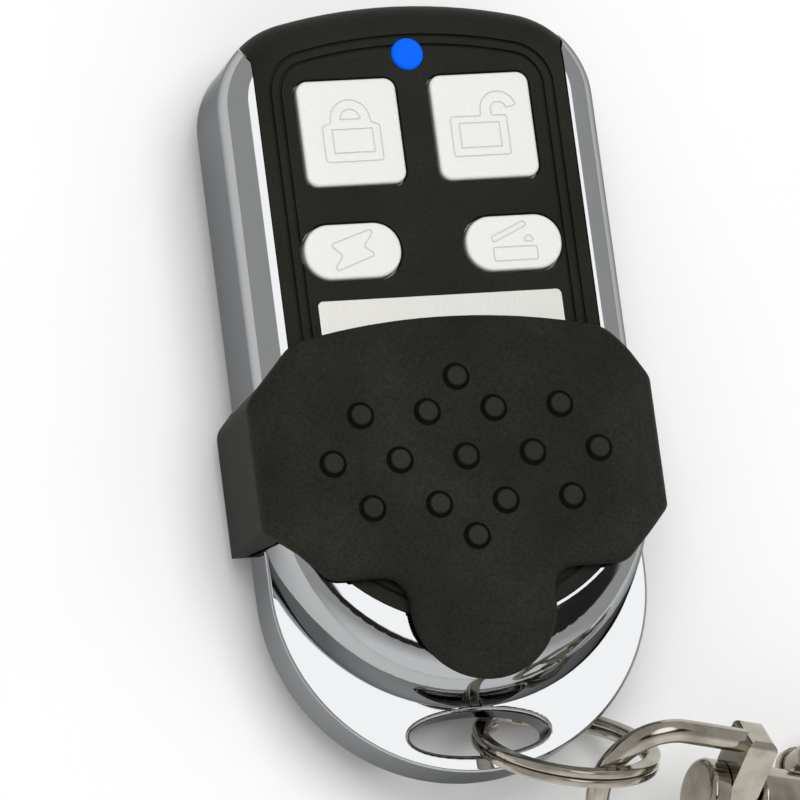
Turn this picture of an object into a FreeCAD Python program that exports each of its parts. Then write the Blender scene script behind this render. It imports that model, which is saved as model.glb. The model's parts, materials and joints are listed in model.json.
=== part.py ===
import FreeCAD, Part
import math
import os
import Sketcher
from FreeCAD import Placement, Rotation, Vector

# Cloning remote control, in millimetres. The remote lies on its back: X to the right, Y towards the
# indicator light, Z out of the keys. The origin is the middle of the flat back, on the table.

# Driving dimensions. Each one is a cell of the sheet.
SIZES = {
    # Case outline and heights above the table
    "case_width": "36.0",
    "case_top": "36.2",
    "corner_radius": "8.5",
    "crown_radius": "50.0",
    "tail_centre": "-17.9",
    "chrome_foot": "3.95",
    "tail_face": "8.95",
    "tail_plate": "3.4",
    "panel_face": "14.5",
    "crest_rise": "0.05",
    # Chrome frame
    "rail_width": "3.0",
    "crest_width": "0.25",
    "rail_rounding": "2.7",
    "lip_depth": "2.15",
    "lip_width": "1.4",
    "tail_step": "6.0",
    "roll_power": "4.0",
    "roll_slope": "0.1",
    "tail_rim": "1.3",
    "tail_rounding": "0.25",
    "eyelet_inset": "3.65",
    "eyelet_length": "13.2",
    "eyelet_height": "4.1",
    "eyelet_rounding": "0.45",
    "rail_end_inner": "30.6",
    "rail_end_outer": "32.6",
    "rail_end_foot": "35.5",
    "rail_end_drop": "1.0",
    "rail_end_outer_inset": "1.9",
    "rail_end_foot_inset": "4.9",
    # Front panel
    "panel_centre": "-5.5",
    "panel_arc_inset": "0.1",
    "panel_low_seat": "0.8",
    "panel_low_lap": "1.0",
    "tail_web": "2.3",
    "fit_gap": "0.1",
    "panel_thickness": "1.6",
    "cap_wall": "1.5",
    "cap_rounding": "3.0",
    "cap_foot": "3.75",
    "flange_width": "2.9",
    "groove_width": "0.35",
    "groove_depth": "0.35",
    "groove_inset": "1.25",
    "ridge_width": "0.6",
    "panel_top_margin": "2.2",
    # Back shell
    "shell_wall": "1.5",
    "shell_floor": "1.5",
    "shell_rounding": "1.2",
    "frame_gap": "0.1",
    "boss_radius": "1.6",
    "boss_gap": "0.2",
    "root_overlap": "0.5",
    "post_radius": "1.3",
    "post_inset": "7.0",
    "post_top_inset": "9.2",
    # Keys
    "square_width": "9.5",
    "square_height": "10.05",
    "square_corner": "1.1",
    "square_x": "6.4",
    "square_y": "23.5",
    "oval_width": "9.2",
    "oval_height": "5.2",
    "oval_corner": "2.5",
    "oval_x": "7.72",
    "oval_y": "12.2",
    "key_gap": "0.25",
    "key_rise": "0.35",
    "key_edge": "0.25",
    "key_flange_margin": "0.5",
    "key_flange_thickness": "0.8",
    "key_travel": "0.35",
    # Nameplate
    "plate_width": "23.3",
    "plate_height": "13.4",
    "plate_top": "7.6",
    "plate_thickness": "0.4",
    "plate_recess": "0.3",
    "plate_corner": "0.5",
    # Circuit board and what it carries
    "board_thickness": "1.0",
    "board_gap": "0.5",
    "board_low": "-3.8",
    "board_top_gap": "1.3",
    "board_corner": "5.0",
    "board_height": "4.8",
    "switch_width": "6.0",
    "switch_height": "3.5",
    "plunger_radius": "1.75",
    "plunger_bore": "1.4",
    "running_gap": "0.05",
    "chip_length": "8.7",
    "chip_width": "3.9",
    "chip_height": "1.5",
    "chip_inset": "4.6",
    "chip_standoff": "0.15",
    "chip_legs": "7",
    "leg_pitch": "1.1",
    "leg_width": "0.4",
    "leg_height": "0.6",
    "leg_reach": "1.0",
    "resonator_length": "10.0",
    "resonator_width": "4.0",
    "resonator_height": "3.2",
    "trimmer_radius": "2.0",
    "trimmer_height": "1.8",
    "trimmer_shift": "1.0",
    "trimmer_lap": "0.3",
    "trimmer_slot": "0.5",
    "small_part_length": "2.0",
    "small_part_width": "1.25",
    "small_part_height": "0.6",
    "small_part_pitch": "3.6",
    "small_part_inset": "1.2",
    "lamp_radius": "1.5",
    "lamp_inset": "5.4",
    "lamp_rise": "0.25",
    "collar_lift": "2.0",
    "collar_width": "0.3",
    "collar_height": "0.9",
    "lamp_leg_width": "0.45",
    "lamp_leg_x": "0.7",
    # Battery
    "spring_room": "1.8",
    "cell_radius": "4.0",
    "cell_y": "-10.5",
    "cell_height": "6.0",
    "contact_thickness": "0.4",
    "spring_radius": "3.0",
    "slot_depth": "0.75",
    "saddle_thickness": "1.2",
    "saddle_drop": "1.5",
    "nub_radius": "1.6",
    "nub_height": "0.6",
    "cell_rounding": "0.4",
    "leaf_margin": "0.3",
    "leaf_rounding": "0.15",
    # Screws
    "screw_radius": "0.85",
    "screw_head_radius": "1.6",
    "screw_head_height": "1.1",
    "screw_recess": "0.25",
    "screw_length": "8.0",
    "board_screw_length": "4.0",
    "drive_slot_width": "0.4",
    "drive_slot_depth": "0.5",
    "top_screw_inset": "5.3",
    "top_screw_y": "16.7",
    "low_screw_inset": "8.5",
    "low_screw_y": "-17.0",
    "board_screw_inset": "5.8",
    "board_screw_y": "1.4",
    "head_gap": "0.15",
    "thread_room": "0.8",
    # Sliding cover
    "cover_lift": "0.73",
    "cover_roof": "0.95",
    "cover_wall": "1.05",
    "cover_slope_width": "2.85",
    "cover_slope_drop": "1.9",
    "cover_crease": "3.0",
    "shoulder_rounding": "4.0",
    "side_rounding": "2.0",
    "side_low_rounding": "1.2",
    "low_rounding": "2.5",
    "tongue_root": "2.4",
    "cover_side_gap": "0.3",
    "cover_top": "5.4",
    "cover_crown": "1.8",
    "cover_shoulder": "15.0",
    "cover_side_top": "-1.2",
    "cover_side_low": "-13.4",
    "cover_low": "-18.75",
    "cover_low_half": "14.1",
    "cover_edge": "1.0",
    "cover_ridge": "2.0",
    "slope_thinning": "0.19",
    "wing_low": "-12.9",
    "wing_lean": "1.7",
    "tongue_half": "6.95",
    "tongue_tip": "-28.7",
    "lip_height": "1.3",
    "cover_lip_gap": "0.25",
    "cover_lip_reach": "1.6",
    "bump_radius": "1.15",
    "bump_rise": "0.45",
    "bump_sunk": "0.2",
    "bump_pitch": "6.33",
    "bump_row_near": "4.35",
    "bump_row_far": "7.5",
    "bump_centre": "-8.06",
    # Split ring
    "ring_radius": "8.7",
    "ring_wire_width": "1.4",
    "ring_wire_height": "0.8",
    "ring_layer_gap": "0.04",
    "ring_jog_angle": "30.0",
    "ring_jog_start": "105.0",
    "ring_wire_corner": "0.3",
    "ring_hang_x": "0.48",
    "ring_hang_angle": "170.8",
    "ring_turn": "8.0",
    "ring_tilt": "33.0",
    # Clasp: swivel loop, post, claw and gate
    "loop_length": "15.8",
    "loop_half": "7.33",
    "loop_bar": "1.1",
    "loop_base": "3.0",
    "loop_base_depth": "4.4",
    "loop_base_rounding": "0.7",
    "loop_ring_angle": "326.7",
    "loop_slack": "5.08",
    "loop_side": "1.8",
    "clasp_heading": "-9.66",
    "clasp_dip": "12.06",
    "clasp_roll": "44.8",
    "post_shank": "1.5",
    "post_head": "3.4",
    "post_head_height": "1.9",
    "post_reach": "4.2",
    "post_rounding": "0.6",
    "post_gap": "0.1",
    "swivel_gap": "0.3",
    "barrel_radius": "3.5",
    "barrel_length": "4.6",
    "claw_length": "23.0",
    "claw_half": "6.6",
    "claw_thickness": "4.2",
    "claw_bar": "2.7",
    "claw_rounding": "0.9",
    "claw_neck_overlap": "1.2",
    "claw_neck_inset": "0.4",
    "claw_bulge": "0.9",
    "pin_reach": "1.5",
    "pin_drop": "0.9",
    "gate_gap": "0.1",
    "gate_start": "1.2",
    "gate_short": "0.5",
    "gate_thickness": "2.4",
    "gate_pin_radius": "0.6",
    "gate_spring_width": "1.1",
    "gate_boss": "1.9",
    "gate_slot_gap": "0.15",
    "knuckle_inset": "0.3",
    "tongue_height": "2.8",
    "tongue_reach": "5.0",
    "tab_reach": "1.4",
    "tab_width": "2.6",
    "tab_rise": "3.2",
    "coil_radius": "1.1",
    "coil_gap": "0.05",
    "pin_gap": "0.03",
}

doc = FreeCAD.newDocument("cloning_remote_control")
sheet = doc.addObject("Spreadsheet::Sheet", "Sizes")
for row, (alias, text) in enumerate(SIZES.items(), start=1):
    sheet.set(f"A{row}", alias)
    sheet.set(f"B{row}", text)
    sheet.setAlias(f"B{row}", alias)
doc.recompute()


class Length:
    """A size taken or worked out from the sheet: its number, and the expression that binds it."""

    def __init__(self, number, text):
        self.number = number
        self.text = text

    def joined(self, sign, other, number):
        other_text = other.text if isinstance(other, Length) else repr(float(other))
        return Length(number, f"({self.text} {sign} {other_text})")

    def __add__(self, other):
        return self.joined("+", other, self.number + float(other))

    def __sub__(self, other):
        return self.joined("-", other, self.number - float(other))

    def __mul__(self, other):
        return self.joined("*", other, self.number * float(other))

    def __truediv__(self, other):
        return self.joined("/", other, self.number / float(other))

    def __neg__(self):
        return Length(-self.number, f"(-1.0 * {self.text})")

    def __float__(self):
        return self.number


def cell(alias):
    """A size bound to its cell."""
    return Length(float(sheet.get(alias)), "Sizes." + alias)


def size(alias):
    """A size as a plain number, for shapes that are made directly."""
    return float(sheet.get(alias))


nodes = []


def keep(thing, label):
    """Names a finished sub-part and lists it for export."""
    thing.Label = label
    nodes.append(thing)
    return thing


def bind(thing, name, value):
    """Ties one property of a document object to the sheet."""
    thing.setExpression(name, value.text if isinstance(value, Length) else repr(float(value)))


def put(thing, x, y, z):
    """Ties the place of a document object to the sheet."""
    bind(thing, "Placement.Base.x", x)
    bind(thing, "Placement.Base.y", y)
    bind(thing, "Placement.Base.z", z)
    return thing


def box(name, length, width, height, x, y, z):
    """A block whose near, low, left corner is at x, y, z."""
    block = doc.addObject("Part::Box", name)
    bind(block, "Length", length)
    bind(block, "Width", width)
    bind(block, "Height", height)
    return put(block, x, y, z)


def cylinder(name, radius, height, x, y, z, direction=Vector(0, 0, 1)):
    """A round bar that starts at x, y, z and runs along a direction."""
    bar = doc.addObject("Part::Cylinder", name)
    bind(bar, "Radius", radius)
    bind(bar, "Height", height)
    bar.Placement = Placement(Vector(), Rotation(Vector(0, 0, 1), direction))
    return put(bar, x, y, z)


def cut(name, base, tool):
    """Base less tool, as a document boolean."""
    result = doc.addObject("Part::Cut", name)
    result.Base = base
    result.Tool = tool
    return result


def fused(name, shapes):
    """Several touching shapes as one solid."""
    result = doc.addObject("Part::MultiFuse", name)
    result.Shapes = shapes
    return result


def group(name, shapes):
    """Several separate solids in one sub-part."""
    result = doc.addObject("Part::Compound", name)
    result.Links = shapes
    return result


def feature(label, shape, placement=None):
    """A sub-part whose form is made directly."""
    thing = doc.addObject("Part::Feature", label)
    thing.Shape = shape
    if placement:
        thing.Placement = placement
    return keep(thing, label)


def new_body(label):
    body = doc.addObject("PartDesign::Body", label)
    return keep(body, label)


def new_sketch(body, name, role="XY_Plane", height=0.0):
    """A sketch on one of the body's own origin planes, raised by a bound height."""
    sketch = body.newObject("Sketcher::SketchObject", name)
    plane = next(f for f in body.Origin.OriginFeatures if f.Role == role)
    sketch.AttachmentSupport = (plane, "")
    sketch.MapMode = "FlatFace"
    bind(sketch, "AttachmentOffset.Base.z", height)
    return sketch


def pad(body, name, sketch, length):
    """Raises a sketch into a solid."""
    raised = body.newObject("PartDesign::Pad", name)
    raised.Profile = sketch
    bind(raised, "Length", length)
    body.Tip = raised
    sketch.Visibility = False
    return raised


def pocket(body, name, sketch, length, reversed_cut=False):
    """Sinks a sketch into the solid."""
    sunk = body.newObject("PartDesign::Pocket", name)
    sunk.Profile = sketch
    bind(sunk, "Length", length)
    sunk.Reversed = reversed_cut
    body.Tip = sunk
    return sunk


def draw_rounded(sketch, width, height, corner):
    """A rectangle with round corners about the sketch's origin, held by bound constraints."""
    half_w = float(width) / 2
    half_h = float(height) / 2
    r = float(corner)
    corners = [(1, 1), (-1, 1), (-1, -1), (1, -1)]
    arcs = []
    for turn, (sx, sy) in enumerate(corners):
        centre = Vector(sx * (half_w - r), sy * (half_h - r), 0)
        circle = Part.Circle(centre, Vector(0, 0, 1), r)
        start = turn * math.pi / 2
        arcs.append(sketch.addGeometry(Part.ArcOfCircle(circle, start, start + math.pi / 2), False))
    lines = []
    for turn, (sx, sy) in enumerate(corners):
        nx, ny = corners[(turn + 1) % 4]
        if turn % 2 == 0:
            ends = Vector(sx * (half_w - r), sy * half_h, 0), Vector(nx * (half_w - r), ny * half_h, 0)
        else:
            ends = Vector(sx * half_w, sy * (half_h - r), 0), Vector(nx * half_w, ny * (half_h - r), 0)
        lines.append(sketch.addGeometry(Part.LineSegment(*ends), False))
    for turn in range(4):
        sketch.addConstraint(Sketcher.Constraint("Tangent", arcs[turn], 2, lines[turn], 1))
        sketch.addConstraint(Sketcher.Constraint("Tangent", lines[turn], 2, arcs[(turn + 1) % 4], 1))
    for turn in (1, 2, 3):
        sketch.addConstraint(Sketcher.Constraint("Equal", arcs[0], arcs[turn]))
    sketch.addConstraint(Sketcher.Constraint("Horizontal", lines[0]))
    sketch.addConstraint(Sketcher.Constraint("Vertical", lines[1]))
    sketch.addConstraint(Sketcher.Constraint("Symmetric", arcs[0], 3, arcs[2], 3, -1, 1))
    radius = sketch.addConstraint(Sketcher.Constraint("Radius", arcs[0], r))
    wide = sketch.addConstraint(Sketcher.Constraint("DistanceX", arcs[1], 3, arcs[0], 3, 2 * (half_w - r)))
    tall = sketch.addConstraint(Sketcher.Constraint("DistanceY", arcs[3], 3, arcs[0], 3, 2 * (half_h - r)))
    bind(sketch, f"Constraints[{radius}]", corner)
    bind(sketch, f"Constraints[{wide}]", width - corner * 2)
    bind(sketch, f"Constraints[{tall}]", height - corner * 2)


def draw_circle(sketch, radius, x, y):
    """A circle held by its radius and the place of its centre."""
    circle = Part.Circle(Vector(float(x), float(y), 0), Vector(0, 0, 1), float(radius))
    shape = sketch.addGeometry(circle, False)
    held = sketch.addConstraint(Sketcher.Constraint("Radius", shape, float(radius)))
    bind(sketch, f"Constraints[{held}]", radius)
    for kind, place in (("DistanceX", x), ("DistanceY", y)):
        if abs(float(place)) < 1e-9:
            axis = -2 if kind == "DistanceX" else -1
            sketch.addConstraint(Sketcher.Constraint("PointOnObject", shape, 3, axis))
        else:
            held = sketch.addConstraint(Sketcher.Constraint(kind, -1, 1, shape, 3, float(place)))
            bind(sketch, f"Constraints[{held}]", place)


# Outlines shared by the case pieces

half = size("case_width") / 2


def shield(inset, low_centre, low_radius, z, lift=0.0):
    """Outline of the case: straight sides, round top corners, a crowned top and an arc at the low end."""
    side = half - inset
    corner = size("corner_radius") - inset
    crown = size("crown_radius") - inset
    crown_y = size("case_top") - inset + lift - crown
    corner_x = side - corner
    corner_y = crown_y + math.sqrt((crown - corner) ** 2 - corner_x**2)
    lean = math.atan2(corner_y - crown_y, corner_x)
    join = Vector(crown * math.cos(lean), crown_y + crown * math.sin(lean), z)
    bend = Vector(corner_x + corner * math.cos(lean / 2), corner_y + corner * math.sin(lean / 2), z)
    low_y = low_centre - math.sqrt(max(low_radius**2 - side**2, 0.0))
    right_low = Vector(side, low_y, z)
    right_high = Vector(side, corner_y, z)

    def left(point):
        return Vector(-point.x, point.y, point.z)

    edges = [
        Part.LineSegment(right_low, right_high),
        Part.Arc(right_high, bend, join),
        Part.Arc(join, Vector(0, crown_y + crown, z), left(join)),
        Part.Arc(left(join), left(bend), left(right_high)),
        Part.LineSegment(left(right_high), left(right_low)),
        Part.Arc(left(right_low), Vector(0, low_centre - low_radius, z), right_low),
    ]
    return Part.Wire([edge.toShape() for edge in edges])


def panel_radius():
    """Radius of the front panel's low end, a little less than half the case width."""
    return half - size("panel_arc_inset")


def prism(wire, height):
    """A wire raised along Z into a solid."""
    return Part.Face(wire).extrude(Vector(0, 0, height))


def case_outline(inset, z):
    """The outermost outline, whose tail is a half circle."""
    return shield(inset, size("tail_centre"), half - inset, z)


def panel_outline(inset, z, low_inset=None, lift=0.0):
    """The outline round the front panel, whose low end is a flatter arc."""
    low = inset if low_inset is None else low_inset
    radius = panel_radius() + size("rail_width") - low
    return shield(inset, size("panel_centre"), radius, z, lift)


def field_outline(inset, z):
    """The flat field between the rails, whose sides run straight on past the rails' ends."""
    return panel_outline(inset, z, lift=size("corner_radius"))


def rounded_prism(width, height, corner, x, y, z, depth):
    """A block with round upright edges, about the point x, y, standing on z."""
    block = Part.makeBox(width, height, depth, Vector(x - width / 2, y - height / 2, z))
    upright = [e for e in block.Edges if abs(e.tangentAt(e.FirstParameter).z) > 0.9]
    return block.makeFillet(corner, upright)


def edges_above(shape, z):
    """The edges of a shape that lie at or above a level."""
    return [e for e in shape.Edges if e.BoundBox.ZMin > z - 1e-6]


def mirrored(shape):
    """The same shape on the other side of the middle plane."""
    return shape.mirror(Vector(), Vector(1, 0, 0))


def beyond_rail(gap):
    """The space above the rails' slanted top ends, where the front panel wraps over the case."""
    inner = Vector(half - size("rail_width"), size("rail_end_inner"), size("panel_face"))
    outer_x = half - size("rail_end_outer_inset")
    outer = Vector(outer_x, size("rail_end_outer"), size("panel_face") - size("rail_end_drop"))
    foot = Vector(half - size("rail_end_foot_inset"), size("rail_end_foot"), size("chrome_foot"))
    normal = (outer - inner).cross(foot - inner).normalize()
    reach = 4 * half
    block = Part.makeBox(2 * reach, 2 * reach, 2 * reach, Vector(-reach, -reach, 0))
    block.Placement = Placement(inner + normal * gap, Rotation(Vector(0, 0, 1), normal))
    side = Part.makeBox(reach, 4 * reach, 2 * reach, Vector(0, -2 * reach, -reach))
    right = block.common(side)
    return right.fuse(mirrored(right))


def roll_space():
    """Round-ended space for the frame's lip: it rises steeply from the tail and rolls over to the crest."""
    crest = size("panel_face") + size("crest_rise")
    tail = size("tail_face")
    low = size("tail_centre") + size("tail_step")
    crest_radius = panel_radius() + size("crest_width")
    slope = size("roll_slope")
    steps = 8
    sections = []
    for step in range(steps + 1):
        reach = step / steps
        rise = slope * reach + (1 - slope) * (1 - (1 - reach) ** size("roll_power"))
        centre = low + (size("panel_centre") - low) * reach
        radius = half + (crest_radius - half) * reach
        sections.append(round_ended(radius, centre, tail + (crest - tail) * rise))
    foot = size("chrome_foot")
    return Part.makeLoft(sections, True).fuse(prism(round_ended(half, low, foot), tail - foot))


def round_ended(radius, centre, z):
    """A strip as wide as the half circle at its low end."""
    top = 2 * size("case_top")
    right, left = Vector(radius, centre, z), Vector(-radius, centre, z)
    right_top, left_top = Vector(radius, top, z), Vector(-radius, top, z)
    edges = [
        Part.Arc(left, Vector(0, centre - radius, z), right),
        Part.LineSegment(right, right_top),
        Part.LineSegment(right_top, left_top),
        Part.LineSegment(left_top, left),
    ]
    return Part.Wire([edge.toShape() for edge in edges])


def eyelet_y():
    """Middle of the eyelet, measured from the low end of the case."""
    return size("tail_centre") - half + size("eyelet_inset")


def eyelet():
    """The elliptical cutter for the key-ring eyelet."""
    z = size("tail_face") - 2 * size("tail_plate")
    oval = Part.Ellipse(Vector(0, eyelet_y(), z), size("eyelet_length") / 2, size("eyelet_height") / 2)
    return prism(Part.Wire([oval.toShape()]), 4 * size("tail_plate"))


def in_eyelet(edge, z):
    """Whether an edge runs round the eyelet at a level."""
    box_of = edge.BoundBox
    level = abs(box_of.ZMin - z) < 0.01 and abs(box_of.ZMax - z) < 0.01
    reach = size("eyelet_length") / 2 + 0.1
    inside = box_of.XMax < reach and box_of.XMin > -reach
    near = abs(box_of.Center.y - eyelet_y()) < size("eyelet_height") / 2 + 0.1
    return level and inside and near


def chrome_frame():
    """Polished frame: two rails, a lip that rolls up to the panel and a tail plate with the eyelet."""
    foot = size("chrome_foot")
    tail = size("tail_face")
    face = size("panel_face")
    crest = face + size("crest_rise")
    plate = prism(case_outline(0, foot), tail - foot)
    plate = plate.makeFillet(size("tail_rounding"), edges_above(plate, tail))
    rails = prism(case_outline(0, foot), crest - foot)
    rails = rails.makeFillet(size("rail_rounding"), edges_above(rails, crest))
    frame = plate.fuse(rails.common(roll_space()))

    rail = size("rail_width")
    lip_top = face - size("lip_depth")
    cavity = rail - size("lip_width")
    frame = frame.cut(prism(field_outline(rail, lip_top - 1), crest - lip_top + 2))
    inside = panel_outline(cavity, foot - 1, rail - size("panel_low_lap"))
    frame = frame.cut(prism(inside, lip_top - foot + 1))

    ceiling = tail - size("tail_plate")
    deep = ceiling - foot + 1
    recess = prism(case_outline(size("tail_rim"), foot - 1), deep)
    recess = recess.cut(prism(panel_outline(0, foot - 1, rail - size("tail_web")), deep))
    low_half = Part.makeBox(4 * half, 2 * half, 2 * tail, Vector(-2 * half, -3 * half, 0))
    frame = frame.cut(recess.common(low_half))
    frame = frame.cut(eyelet())
    rims = [e for e in frame.Edges if in_eyelet(e, tail) or in_eyelet(e, ceiling)]
    frame = frame.makeFillet(size("eyelet_rounding"), rims)
    feature("chrome_frame", frame.cut(beyond_rail(0)).removeSplitter())


# Key places: label, middle and outline of each key

KEYS = [
    ("lock_key", -cell("square_x"), cell("square_y"), "square"),
    ("unlock_key", cell("square_x"), cell("square_y"), "square"),
    ("power_key", -cell("oval_x"), cell("oval_y"), "oval"),
    ("boot_key", cell("oval_x"), cell("oval_y"), "oval"),
]


def screw_places():
    """The four case screws."""
    top = half - size("top_screw_inset"), size("top_screw_y")
    low = half - size("low_screw_inset"), size("low_screw_y")
    return [(side * x, y) for x, y in (top, low) for side in (-1, 1)]


def shell_inset():
    """How far the back shell's outside lies inside the case outline."""
    return size("rail_width") - size("lip_width") + size("fit_gap") + size("frame_gap")


def flange_foot():
    """Underside of the front panel's flange, which is also the top of the back shell."""
    return size("panel_face") - size("lip_depth") - size("fit_gap") - size("panel_thickness")


def boss_top():
    """Where the shell's screw bosses meet the panel's."""
    return size("board_height") + size("board_thickness") + size("boss_gap")


def cell_slot(z, height):
    """Room for the contacts in the walls at both ends of the cell."""
    reach = half - shell_inset() - size("shell_wall") + size("slot_depth")
    radius = size("cell_radius")
    return Part.makeBox(2 * reach, 2 * radius, height, Vector(-reach, size("cell_y") - radius, z))


def front_panel():
    """Black front panel: flat field between the rails, wrapped down over the top end of the case."""
    face = size("panel_face")
    foot = size("cap_foot")
    gap = size("fit_gap")
    rail = size("rail_width")
    underside = face - size("panel_thickness")
    whole = prism(case_outline(0, foot), face - foot)
    whole = whole.makeFillet(size("cap_rounding"), edges_above(whole, face))
    panel = whole.common(prism(field_outline(rail + gap, underside), face).fuse(beyond_rail(gap)))
    wrap = size("cap_wall") - size("tail_rim") + size("frame_gap") * 2
    hollow = panel_outline(shell_inset() - size("frame_gap"), foot - 1, wrap)
    panel = panel.cut(prism(hollow, underside - foot + 1))

    flange_top = face - size("lip_depth") - gap
    outer = rail - size("lip_width") + gap
    inner = outer + size("flange_width")
    low = rail - size("panel_low_seat")
    flange = prism(panel_outline(outer, flange_foot(), low), flange_top - flange_foot())
    neck = prism(field_outline(rail + gap, flange_top), underside - flange_top)
    ring = flange.fuse(neck).cut(prism(panel_outline(inner, flange_foot()), underside - flange_foot()))
    ring = ring.cut(cell_slot(flange_foot(), flange_top - flange_foot()))
    near = Vector(-2 * half, size("rail_end_inner") - 3 * half, -face)
    panel = panel.fuse(ring.common(Part.makeBox(4 * half, 3 * half, 4 * face, near)))

    lift = rail - size("panel_top_margin")
    z = face - size("groove_depth")
    for turn in range(2):
        near = rail + size("groove_inset") + turn * (size("groove_width") + size("ridge_width"))
        outside = panel_outline(near, z, lift=lift)
        inside = panel_outline(near + size("groove_width"), z, lift=lift)
        panel = panel.cut(prism(outside, 1).cut(prism(inside, 1)))

    for label, x, y, form in KEYS:
        wide = size(form + "_width") + 2 * size("key_gap")
        tall = size(form + "_height") + 2 * size("key_gap")
        corner = size(form + "_corner") + size("key_gap")
        panel = panel.cut(rounded_prism(wide, tall, corner, float(x), float(y), underside - 1, 4))
    lamp_hole = size("lamp_radius") + size("running_gap")
    panel = panel.cut(Part.makeCylinder(lamp_hole, 4, Vector(0, lamp_y(), underside - 1)))
    wide = size("plate_width") + gap
    tall = size("plate_height") + gap
    middle = size("plate_top") - size("plate_height") / 2
    seat = rounded_prism(wide, tall, size("plate_corner"), 0, middle, face - size("plate_recess"), 1)
    panel = panel.cut(seat)

    tip = size("screw_recess") + size("screw_head_height") + size("screw_length")
    overlap = size("root_overlap")
    for x, y in screw_places():
        tall = underside - boss_top() + overlap
        panel = panel.fuse(Part.makeCylinder(size("boss_radius"), tall, Vector(x, y, boss_top())))
    bore = size("screw_radius") + size("running_gap")
    deep = tip + size("thread_room") - boss_top()
    for x, y in screw_places():
        panel = panel.cut(Part.makeCylinder(bore, deep, Vector(x, y, boss_top() - overlap)))
    feature("front_panel", panel.removeSplitter())


def lamp_y():
    """Middle of the indicator lamp, measured from the top end."""
    return size("case_top") - size("lamp_inset")


def board_screw_x():
    return half - size("board_screw_inset")


def back_shell():
    """Black back shell: flat back, walls inside the frame, bosses, board posts and the cell's cradle."""
    outer = shell_inset()
    wall = size("shell_wall")
    floor = size("shell_floor")
    low = size("rail_width") - size("panel_low_seat")
    overlap = size("root_overlap")
    shell = prism(panel_outline(outer, 0, low), flange_foot())
    shell = shell.makeFillet(size("shell_rounding"), [e for e in shell.Edges if e.BoundBox.ZMax < 1e-6])
    shell = shell.cut(prism(panel_outline(outer + wall, floor, low + wall), flange_foot()))
    shell = shell.cut(cell_slot(floor, flange_foot()))

    def pillar(radius, x, y, top):
        return Part.makeCylinder(radius, top - floor + overlap, Vector(x, y, floor - overlap))

    post_top = size("board_height")
    posts = [(board_screw_x(), size("board_screw_y"))]
    posts.append((half - size("post_inset"), size("case_top") - size("post_top_inset")))
    for x, y in screw_places():
        shell = shell.fuse(pillar(size("boss_radius"), x, y, boss_top()))
    for x, y in posts:
        for side in (-1, 1):
            shell = shell.fuse(pillar(size("post_radius"), side * x, y, post_top))
    radius, thick = size("cell_radius"), size("saddle_thickness")
    tall = size("cell_height") - floor - size("saddle_drop")
    for x in (-cell_length() / 3, cell_length() / 3):
        foot = Vector(x - thick / 2, size("cell_y") - radius, floor - overlap)
        shell = shell.fuse(Part.makeBox(thick, 2 * radius, tall, foot))
    start = Vector(-cell_length() / 2, size("cell_y"), size("cell_height"))
    room = Part.makeCylinder(radius + size("running_gap"), cell_length(), start, Vector(1, 0, 0))
    shell = shell.cut(room)
    bore = size("screw_radius") + size("running_gap")
    for x, y in screw_places():
        shell = shell.cut(Part.makeCylinder(bore, boss_top() + 1, Vector(x, y, -overlap)))
        depth = size("screw_recess") + size("screw_head_height")
        head = size("screw_head_radius") + size("head_gap")
        shell = shell.cut(Part.makeCylinder(head, depth + 1, Vector(x, y, -1)))
    deep = size("board_screw_length")
    seat = post_top - deep + size("thread_room") + size("fit_gap")
    for side in (-1, 1):
        start = Vector(side * board_screw_x(), size("board_screw_y"), seat)
        shell = shell.cut(Part.makeCylinder(bore, deep, start))
    feature("back_shell", shell.removeSplitter())


def nameplate():
    """Bare brushed plate set in the front panel."""
    body = new_body("nameplate")
    sketch = new_sketch(body, "nameplate_outline")
    draw_rounded(sketch, cell("plate_width"), cell("plate_height"), cell("plate_corner"))
    pad(body, "nameplate_sheet", sketch, cell("plate_thickness"))
    put(body, 0, cell("plate_top") - cell("plate_height") / 2, cell("panel_face") - cell("plate_recess"))


def key(label, x, y, form):
    """A moulded key: a cap through the panel on a wider flange, whose underside meets its switch."""
    body = new_body(label)
    width, height, corner = (cell(f"{form}_{part}") for part in ("width", "height", "corner"))
    margin = cell("key_flange_margin")
    flange = new_sketch(body, label + "_flange_outline")
    draw_rounded(flange, width + margin * 2, height + margin * 2, corner + margin)
    pad(body, label + "_flange", flange, cell("key_flange_thickness"))
    cap = new_sketch(body, label + "_cap_outline", height=cell("key_flange_thickness"))
    draw_rounded(cap, width, height, corner)
    rise = cell("panel_thickness") + cell("key_rise") + cell("running_gap")
    raised = pad(body, label + "_cap", cap, rise)
    doc.recompute()
    top = float(cell("key_flange_thickness") + rise)
    rims = [f"Edge{n}" for n, e in enumerate(raised.Shape.Edges, 1) if abs(e.BoundBox.ZMin - top) < 1e-6]
    rounding = body.newObject("PartDesign::Fillet", label + "_rounding")
    rounding.Base = (raised, rims)
    bind(rounding, "Radius", cell("key_edge"))
    body.Tip = rounding
    underside = cell("panel_face") - cell("panel_thickness") - cell("running_gap")
    put(body, x, y, underside - cell("key_flange_thickness"))


def key_foot():
    """Height of the underside of every key's flange."""
    return cell("panel_face") - cell("panel_thickness") - cell("running_gap") - cell("key_flange_thickness")


def board_top():
    return cell("board_height") + cell("board_thickness")


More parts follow.
